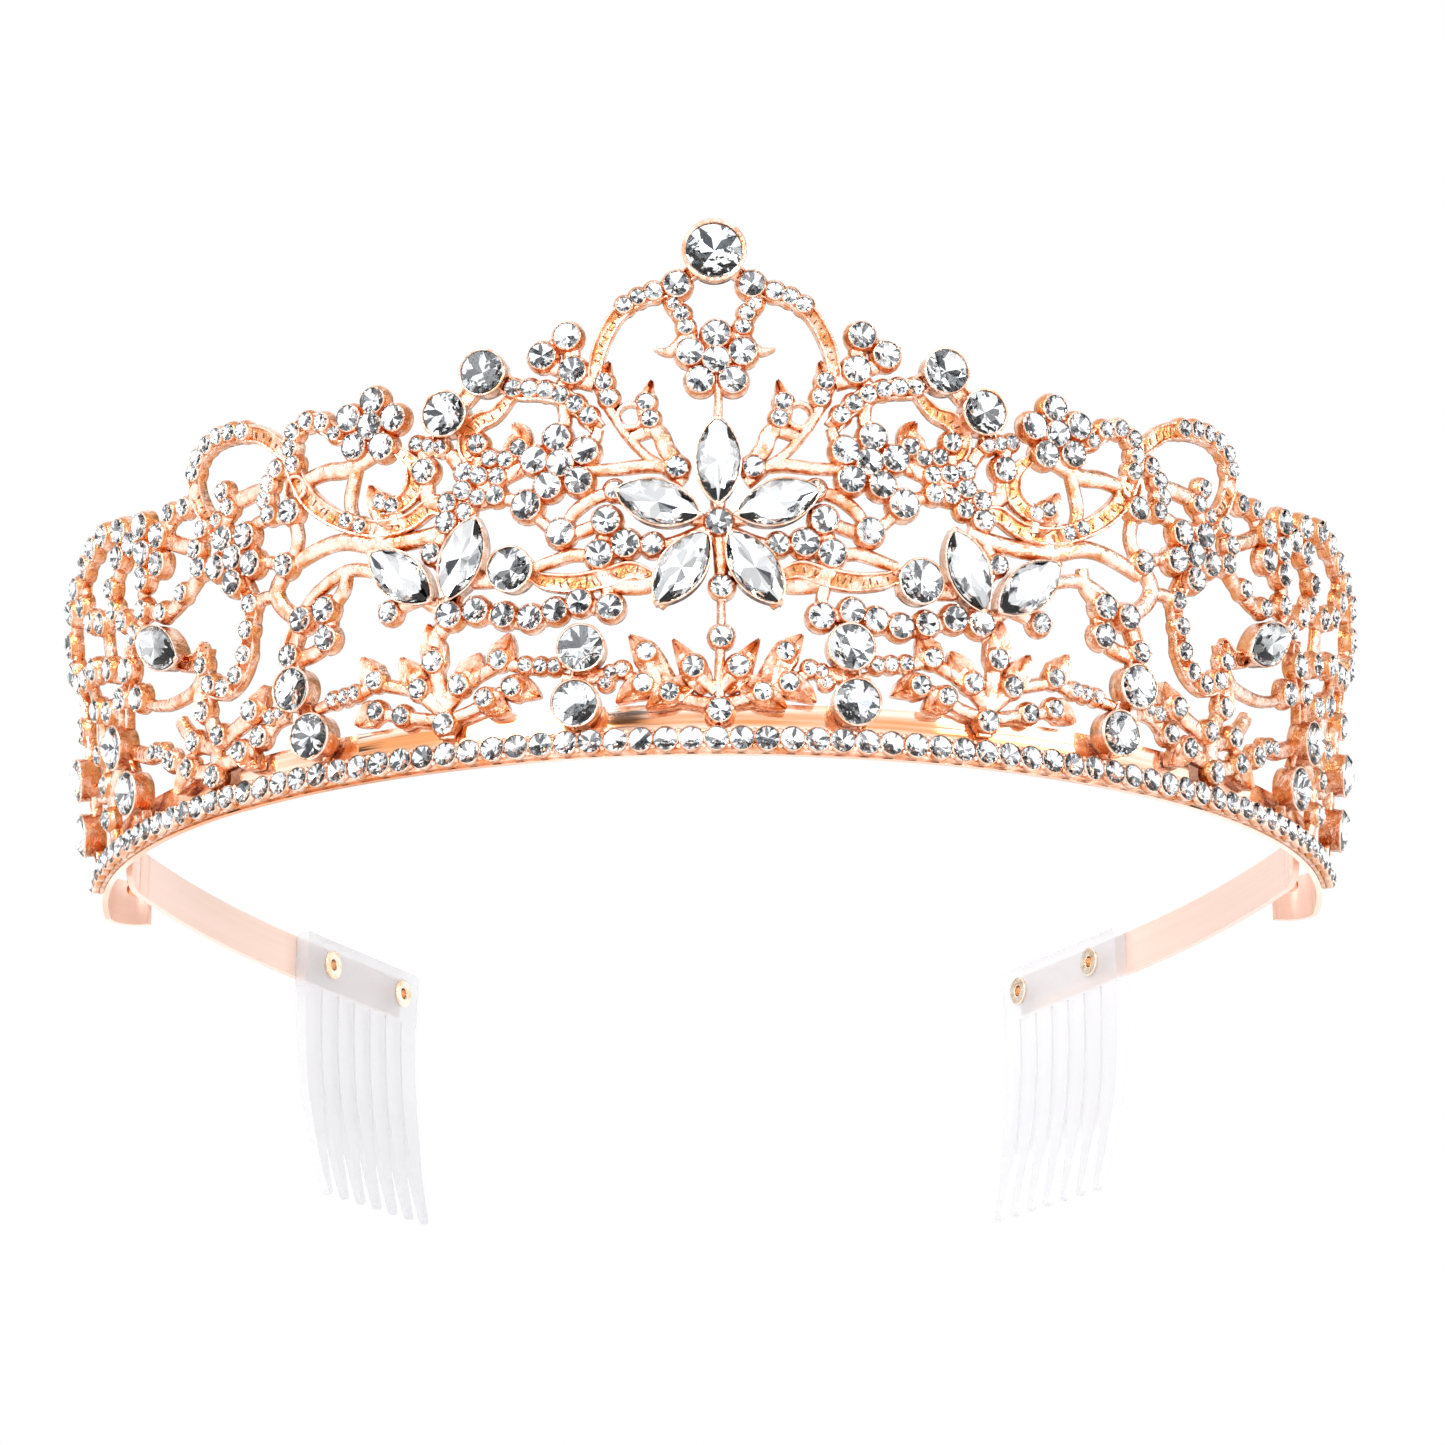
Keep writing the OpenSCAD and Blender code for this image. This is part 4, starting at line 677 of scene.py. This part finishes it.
def casting(name, lists):
    """One cast piece: its wires, rings, and the seats cast with it for the small stones."""
    shape = Shape()
    wires, stones, _ = lists
    for kind, points in wires:
        sweep(shape, points, kind)
    side, _, unit = name.partition("_")
    if unit in RINGS:
        s, h, r = RINGS[unit]
        origin, axes = stand(s if side == "right" else -s, h, CAST_BACK)
        profile = [(r + 0.4, 0), (r + 0.4, 1), (r + 0.2, 1.3), (r - 0.1, 1.3), (r - 0.3, 1), (r - 0.3, 0)]
        n = 24
        points = [[x, y, z] for a, z in profile for x, y in circle(a, n)(0)]
        faces = tube_sides(n, len(profile), closed=True)
        shape.add(origin + np.array(points) @ axes, faces, np.repeat([0.6, 0.5, 1, 1, 0.5, 0.6], n))
    for s, h, r in stones:
        if r < CUP_FROM:
            small_seat(shape, s, h, r)
    shape.build(name + "_cast", [ROSE_GOLD], "rose_gold", name, CREASE)


def settings(name, units):
    shape = Shape()
    for _, stones, navettes in units:
        for s, h, r in stones:
            if r >= CUP_FROM:
                cup(shape, s, h, r)
        for s, h, turn in navettes:
            navette_box(shape, s, h, turn)
    shape.build(name + "_cups", [ROSE_GOLD], "rose_gold", name, CREASE)


def stones(name, units, wanted):
    shape = Shape()
    for _, rounds, _ in units:
        for s, h, r in rounds:
            if wanted(r):
                round_stone(shape, s, h, r)
    shape.build(name + "_cut", [CRYSTAL, FOIL], "crystal", name)


def navettes(name, units):
    shape = Shape()
    for _, _, places in units:
        for s, h, turn in places:
            navette_stone(shape, s, h, turn)
    shape.build(name + "_cut", [CRYSTAL, FOIL], "crystal", name)


def cup_chain():
    """The foot row: a rail with a cup for each stone and a claw in each gap."""
    metal, gems = Shape(), Shape()
    rail = [(-ROW_N - 0.4) * ROW_PITCH, (ROW_N + 0.4) * ROW_PITCH]
    section = [(0.2, -1), (0.2, -0.5), (0.35, -0.4), (2.75, -0.4), (2.9, -0.5), (2.9, -1)]
    stations = np.linspace(rail[0], rail[1], 181)
    points = [at(s, h, d) for s in stations for h, d in section]
    metal.add(points, tube(len(section), len(stations)), 0.5)
    foot = CAST_BACK + 0.5
    lift = cup_lift(ROW_R)
    for i in range(-ROW_N, ROW_N + 1):
        s = i * ROW_PITCH
        origin, axes = stand(s, ROW_H, foot + lift, flare=0, turn=random.uniform(0, 0.7))
        # relief 0 paints dark brown shade where each cup meets the rail and inside the cup
        turned(metal, origin, axes, circle(ROW_R, 20),
               [(1, 0.14, -lift), (1, 0.16, -0.2), (1, 0.2, 0), (1, 0.12, 0.1), (1, 0.02, 0.02),
                (0.93, 0, -0.2), (0.5, 0, -0.5 * ROW_R), (0.1, 0, -0.65 * ROW_R)],
               [0.0, 0.6, 1.0, 1.0, 0.2, 0.0, 0.0, 0.0])
        round_cut(gems, origin, axes, ROW_R, 0.08, 0.1)
        if i < ROW_N:
            origin, axes = stand(s + ROW_PITCH / 2, ROW_H, foot + lift, flare=0)
            for y in (-0.95, 0.95):
                bead(metal, origin, axes, 0, y, 0.02, 0.3)
    metal.build("cup_chain_cups", [ROSE_GOLD], "rose_gold", "cup_chain", CREASE)
    gems.build("row_stones_cut", [CRYSTAL, FOIL], "crystal", "row_stones")


# ---------- materials ----------

def nodes_of(name):
    material = bpy.data.materials.new(name)
    material.use_nodes = True
    tree = material.node_tree
    return material, tree.nodes, tree.links, tree.nodes["Principled BSDF"]


def noise(nodes, detail, scale=None):
    node = nodes.new("ShaderNodeTexNoise")
    node.inputs["Detail"].default_value = detail
    if scale is not None:
        node.inputs["Scale"].default_value = scale
    return node


def blend_of(nodes, low=None, high=None):
    """A mix of two colours: its inputs are 0 the factor, 6 the first colour and 7 the second."""
    node = nodes.new("ShaderNodeMix")
    node.data_type = "RGBA"
    for socket, color in ((6, low), (7, high)):
        if color is not None:
            node.inputs[socket].default_value = (*color, 1)
    return node


def scaled(nodes, links, value, by, plus=0.0):
    """A value times by, plus a constant."""
    node = nodes.new("ShaderNodeMath")
    node.operation = "MULTIPLY_ADD"
    node.inputs[1].default_value = by
    node.inputs[2].default_value = plus
    links.new(value, node.inputs[0])
    return node


def raise_surface(nodes, links, height, shader, strength, distance):
    raised = nodes.new("ShaderNodeBump")
    raised.inputs["Strength"].default_value = strength
    raised.inputs["Distance"].default_value = distance
    links.new(height, raised.inputs["Height"])
    links.new(raised.outputs["Normal"], shader.inputs["Normal"])


def new_group(name, inputs, outputs):
    """An empty shader group with named sockets, each (name, type, default)."""
    group = bpy.data.node_groups.new(name, "ShaderNodeTree")
    for label, kind, default in inputs:
        socket = group.interface.new_socket(label, in_out="INPUT", socket_type=kind)
        socket.default_value = default
    for label, kind in outputs:
        group.interface.new_socket(label, in_out="OUTPUT", socket_type=kind)
    return group, group.nodes.new("NodeGroupInput"), group.nodes.new("NodeGroupOutput")


def plating_group():
    """Plated metal, pale on the crests, with painted shade: deep orange in the recesses for light bounced
    between the gold surfaces, dark brown at the foot, and random patches of that orange over the crests; a
    fine cast grain sets roughness and bumps.
    """
    group, start, end = new_group(
        "plating",
        [("Crest Color", "NodeSocketColor", (1, 1, 1, 1)), ("Recess Shade Color", "NodeSocketColor", (0, 0, 0, 1)),
         ("Foot Shade Color", "NodeSocketColor", (0, 0, 0, 1)), ("Grain Scale", "NodeSocketFloat", 1500),
         ("Roughness", "NodeSocketFloat", 0.15), ("Relief", "NodeSocketFloat", 1)],
        [("Color", "NodeSocketColor"), ("Roughness", "NodeSocketFloat"), ("Height", "NodeSocketFloat")])
    nodes, links = group.nodes, group.links
    place = nodes.new("ShaderNodeTexCoord")
    patches = noise(nodes, 3, 620)
    links.new(place.outputs["Object"], patches.inputs["Vector"])
    grain = noise(nodes, 4)
    links.new(place.outputs["Object"], grain.inputs["Vector"])
    links.new(start.outputs["Grain Scale"], grain.inputs["Scale"])
    # random patches that push the painted orange of the recesses onto the crests
    uneven = scaled(nodes, links, patches.outputs["Fac"], 3.4, -1.85)
    depth = nodes.new("ShaderNodeMath")
    depth.operation = "ADD"
    depth.use_clamp = True
    links.new(start.outputs["Relief"], depth.inputs[0])
    links.new(uneven.outputs[0], depth.inputs[1])
    tint = blend_of(nodes)
    links.new(depth.outputs[0], tint.inputs[0])
    links.new(start.outputs["Recess Shade Color"], tint.inputs[6])
    links.new(start.outputs["Crest Color"], tint.inputs[7])
    # painted shade: dark brown at the foot, where relief is below 0.22
    low = nodes.new("ShaderNodeMapRange")
    low.inputs["From Max"].default_value = 0.22
    links.new(start.outputs["Relief"], low.inputs["Value"])
    foot = blend_of(nodes)
    links.new(low.outputs["Result"], foot.inputs[0])
    links.new(start.outputs["Foot Shade Color"], foot.inputs[6])
    links.new(tint.outputs[2], foot.inputs[7])
    links.new(foot.outputs[2], end.inputs["Color"])
    rough = scaled(nodes, links, grain.outputs["Fac"], 0.22)
    links.new(start.outputs["Roughness"], rough.inputs[2])
    links.new(rough.outputs[0], end.inputs["Roughness"])
    links.new(grain.outputs["Fac"], end.inputs["Height"])
    return group


PLATING = plating_group()


def plated(name, crest, recess_shade, foot, roughness, bump, grain=1500, relief_of=None):
    """A plated metal with painted shade, whose recesses are told by the piece's own relief, or by one value
    for all of it.
    """
    material, nodes, links, shader = nodes_of(name)
    group = nodes.new("ShaderNodeGroup")
    group.node_tree = PLATING
    if relief_of is None:
        relief = nodes.new("ShaderNodeAttribute")
        relief.attribute_name = "relief"
        links.new(relief.outputs["Fac"], group.inputs["Relief"])
    else:
        group.inputs["Relief"].default_value = relief_of
    group.inputs["Crest Color"].default_value = (*crest, 1)
    group.inputs["Recess Shade Color"].default_value = (*recess_shade, 1)
    group.inputs["Foot Shade Color"].default_value = (*foot, 1)
    group.inputs["Grain Scale"].default_value = grain
    group.inputs["Roughness"].default_value = roughness
    links.new(group.outputs["Color"], shader.inputs["Base Color"])
    links.new(group.outputs["Roughness"], shader.inputs["Roughness"])
    raise_surface(nodes, links, group.outputs["Height"], shader, bump, 0.00025)
    shader.inputs["Metallic"].default_value = 1
    return material


def strip(name, low, high, roughness, metal, lines, fineness):
    """Drawn strip with lines along it, coloured from low to high; on the polished strip these lines are
    painted reflection in deep orange and pale peach.
    """
    material, nodes, links, shader = nodes_of(name)
    place = nodes.new("ShaderNodeTexCoord")
    stretch = nodes.new("ShaderNodeMapping")
    stretch.inputs["Scale"].default_value = (25, 25, fineness)
    brushed = noise(nodes, 3, 1)
    links.new(place.outputs["Object"], stretch.inputs["Vector"])
    links.new(stretch.outputs["Vector"], brushed.inputs["Vector"])
    tint = blend_of(nodes, low, high)
    streaks = nodes.new("ShaderNodeMapRange")
    streaks.inputs["From Min"].default_value = 0.38
    streaks.inputs["From Max"].default_value = 0.62
    links.new(brushed.outputs["Fac"], streaks.inputs["Value"])
    links.new(streaks.outputs["Result"], tint.inputs[0])
    links.new(tint.outputs[2], shader.inputs["Base Color"])
    rough = scaled(nodes, links, brushed.outputs["Fac"], 0.12, roughness)
    links.new(rough.outputs[0], shader.inputs["Roughness"])
    raise_surface(nodes, links, brushed.outputs["Fac"], shader, lines, 0.0001)
    shader.inputs["Metallic"].default_value = metal
    return material


def crystal():
    material, nodes, links, shader = nodes_of("crystal")
    cloud = noise(nodes, 2, 300)
    tint = blend_of(nodes, (0.96, 0.97, 1), (1, 1, 1))
    links.new(cloud.outputs["Fac"], tint.inputs[0])
    links.new(tint.outputs[2], shader.inputs["Base Color"])
    shader.inputs["Roughness"].default_value = 0.0
    shader.inputs["IOR"].default_value = 1.42
    shader.inputs["Transmission Weight"].default_value = 1
    return material


def foil():
    """The silvered back of a stone, with painted reflection: some facets painted near black and the rest near
    white, for the dark and bright surroundings that a stone mirrors.
    """
    material, nodes, links, shader = nodes_of("stone_foil")
    facet = nodes.new("ShaderNodeAttribute")
    facet.attribute_name = "painted_reflection"
    tint = blend_of(nodes, (0.02, 0.026, 0.036), (0.97, 0.98, 0.98))
    links.new(facet.outputs["Fac"], tint.inputs[0])
    links.new(tint.outputs[2], shader.inputs["Base Color"])
    shader.inputs["Roughness"].default_value = 0.03
    shader.inputs["Metallic"].default_value = 1
    return material


def clear_plastic():
    material, nodes, links, shader = nodes_of("comb_plastic")
    cloud = noise(nodes, 2, 120)
    tint = blend_of(nodes, (0.72, 0.725, 0.755), (0.78, 0.785, 0.81))
    links.new(cloud.outputs["Fac"], tint.inputs[0])
    links.new(tint.outputs[2], shader.inputs["Base Color"])
    shader.inputs["Roughness"].default_value = 0.2
    shader.inputs["Alpha"].default_value = 0.5
    shader.inputs["Coat Weight"].default_value = 0.3
    raise_surface(nodes, links, cloud.outputs["Fac"], shader, 0.15, 0.0003)
    return material


# the second and third colours are painted shade: deep orange for light bounced in the hollows and dark brown
# at the foot; solder and eyelets take one relief for all, so on them the orange shows only in random patches
# and the dark brown not at all
ROSE_GOLD = plated("rose_gold", (0.93, 0.70, 0.58), (0.64, 0.26, 0.10), (0.20, 0.09, 0.045), 0.04, 1.0)
SOLDER = plated("solder", (0.93, 0.6, 0.42), (0.7, 0.26, 0.1), (0.3, 0.14, 0.07), 0.15, 0.8, 2500, 0.5)
EYELET = plated("eyelet_plate", (0.98, 0.84, 0.7), (0.9, 0.55, 0.3), (0.3, 0.14, 0.07), 0.1, 0.1, 800, 0.9)
SATIN = strip("satin_rose_gold", (0.86, 0.648, 0.548), (0.885, 0.672, 0.578), 0.28, 0.4, 0.1, 2600)
# painted reflection: lines of deep orange and pale peach along the polished band
POLISHED = strip("polished_rose_gold", (0.72, 0.30, 0.12), (0.97, 0.76, 0.64), 0.03, 0.95, 0.9, 600)
CRYSTAL = crystal()
FOIL = foil()
PLASTIC = clear_plastic()


# ---------- camera, light and floor ----------

def make_camera():
    """The camera stands in front of the tiara, below it, and looks up."""
    pitch, yaw, roll = 0.3128, 0.0101, 0.00686
    ahead = np.array([math.sin(yaw), math.cos(yaw), 0])
    side = np.array([math.cos(yaw), -math.sin(yaw), 0])
    above = np.array([0, 0, 1])
    forward = math.cos(pitch) * ahead + math.sin(pitch) * above
    up = -math.sin(pitch) * ahead + math.cos(pitch) * above
    right = math.cos(roll) * side - math.sin(roll) * up
    top = math.sin(roll) * side + math.cos(roll) * up
    camera = placed("camera", bpy.data.cameras.new("camera"))
    camera.data.sensor_width = 36
    camera.data.lens = 96.25
    aside, in_front, below = 3.55, 420, 132.42
    place = np.array([-aside, Y_SHIFT - in_front, BAND_Z - below]) * MM
    camera.matrix_world = Matrix([
        [right[0], top[0], -forward[0], place[0]],
        [right[1], top[1], -forward[1], place[1]],
        [right[2], top[2], -forward[2], place[2]],
        [0, 0, 0, 1]])
    camera.data.clip_start = 0.01
    bpy.context.scene.camera = camera


def make_floor():
    """A pale floor at the comb tips, which is clear when seen from below."""
    mesh = bpy.data.meshes.new("floor")
    size, z = 1.5, -0.0003
    corners = [(-size, -size, z), (size, -size, z), (size, size, z), (-size, size, z)]
    mesh.from_pydata(corners, [], [(0, 1, 2, 3)])
    material, nodes, links, shader = nodes_of("floor")
    shader.inputs["Base Color"].default_value = (0.93, 0.93, 0.93, 1)
    shader.inputs["Roughness"].default_value = 0.7
    under = nodes.new("ShaderNodeNewGeometry")
    clear = nodes.new("ShaderNodeBsdfTransparent")
    choice = nodes.new("ShaderNodeMixShader")
    links.new(under.outputs["Backfacing"], choice.inputs[0])
    links.new(shader.outputs[0], choice.inputs[1])
    links.new(clear.outputs[0], choice.inputs[2])
    links.new(choice.outputs[0], nodes["Material Output"].inputs["Surface"])
    mesh.materials.append(material)
    placed("floor", mesh)


def softbox(name, place, target, size, power):
    light = bpy.data.lights.new(name, "AREA")
    light.shape = "RECTANGLE"
    light.size, light.size_y = size
    light.energy = power
    lamp = placed(name, light)
    away = np.array(place) - np.array(target)
    z = away / np.linalg.norm(away)
    x = np.cross([0, 0, 1], z)
    x /= np.linalg.norm(x)
    y = np.cross(z, x)
    lamp.matrix_world = Matrix([[x[i], y[i], z[i], place[i]] for i in range(3)] + [[0, 0, 0, 1]])


def make_studio():
    """A white studio with dark gaps between its panels, which the stones and the metal mirror."""
    world = bpy.data.worlds.new("studio")
    bpy.context.scene.world = world
    world.use_nodes = True
    nodes, links = world.node_tree.nodes, world.node_tree.links
    nodes.clear()
    out = nodes.new("ShaderNodeOutputWorld")
    place = nodes.new("ShaderNodeTexCoord")
    panels = noise(nodes, 1.5, 2.3)
    gaps = nodes.new("ShaderNodeValToRGB")
    gaps.color_ramp.elements[0].position = 0.41
    gaps.color_ramp.elements[0].color = (0.05, 0.055, 0.07, 1)
    gaps.color_ramp.elements[1].position = 0.47
    gaps.color_ramp.elements[1].color = (1, 1, 1, 1)
    room = nodes.new("ShaderNodeBackground")
    room.inputs["Strength"].default_value = 1.4
    white = nodes.new("ShaderNodeBackground")
    white.inputs["Color"].default_value = (1, 1, 1, 1)
    seen = nodes.new("ShaderNodeLightPath")
    choice = nodes.new("ShaderNodeMixShader")
    links.new(place.outputs["Generated"], panels.inputs["Vector"])
    links.new(panels.outputs["Fac"], gaps.inputs["Fac"])
    links.new(gaps.outputs["Color"], room.inputs["Color"])
    links.new(seen.outputs["Is Camera Ray"], choice.inputs[0])
    links.new(room.outputs[0], choice.inputs[1])
    links.new(white.outputs[0], choice.inputs[2])
    links.new(choice.outputs[0], out.inputs["Surface"])
    softbox("key_light", (-0.5, -0.8, 0.5), (0, 0, 0.05), (0.5, 0.5), 7)
    softbox("fill_light", (0.7, -0.5, 0.1), (0, 0, 0.05), (0.5, 0.4), 3)
    bpy.context.scene.view_settings.view_transform = "Standard"


# ---------- the tiara ----------

def softened(node, material, width):
    """A CAD piece with its hard edges eased."""
    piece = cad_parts[node].copy()
    piece.data = piece.data.copy()
    piece.name = node + "_eased"
    bpy.context.scene.collection.objects.link(piece)
    piece.parent = None
    work = bmesh.new()
    work.from_mesh(piece.data)
    bmesh.ops.remove_doubles(work, verts=work.verts, dist=1e-6)
    bmesh.ops.dissolve_limit(work, angle_limit=math.radians(FLAT_ANGLE), verts=work.verts,
                             edges=work.edges)
    hard = [edge for edge in work.edges
            if edge.is_manifold and edge.calc_face_angle(0) > math.radians(HARD_ANGLE)]
    bmesh.ops.bevel(work, geom=hard, offset=width * MM, segments=2, affect="EDGES", clamp_overlap=True)
    work.to_mesh(piece.data)
    work.free()
    piece.data.materials.clear()
    piece.data.materials.append(material)
    piece.data.polygons.foreach_set("use_smooth", [True] * len(piece.data.polygons))
    piece.data.set_sharp_from_angle(angle=math.radians(SHARP_ANGLE))
    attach(piece, "root")
    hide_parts(node)
    return piece


make_camera()
make_floor()
make_studio()
for unit, lists in MIDDLE.items():
    casting(unit, lists)
settings("centre_settings", MIDDLE.values())
stones("centre_stones", MIDDLE.values(), lambda r: True)
navettes("star_navettes", MIDDLE.values())
for side in ("left", "right"):
    units = {unit: on_side(side, unit) for unit in SPRAYS}
    for unit, lists in units.items():
        casting(f"{side}_{unit}", lists)
    settings(f"{side}_settings", units.values())
    stones(f"{side}_small_stones", units.values(), lambda r: r < CUP_FROM)
    stones(f"{side}_large_stones", units.values(), lambda r: r >= CUP_FROM)
    navettes(f"{side}_navettes", units.values())
cup_chain()
band = softened("liner_band", POLISHED, 0.15)
band.data.materials.append(SATIN)
fold_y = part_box("liner_band")[1].y - FOLD
for face in band.data.polygons:
    if face.center.y > fold_y:
        face.material_index = 1
for node in ("left_arm", "right_arm"):
    softened(node, SATIN, 0.15)
for node in ("left_comb", "right_comb"):
    softened(node, PLASTIC, 0.35)
for node in ("left_eyelets", "right_eyelets"):
    softened(node, EYELET, 0.12)
for node in ("left_solder", "right_solder"):
    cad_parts[node].material_slots[0].material = SOLDER
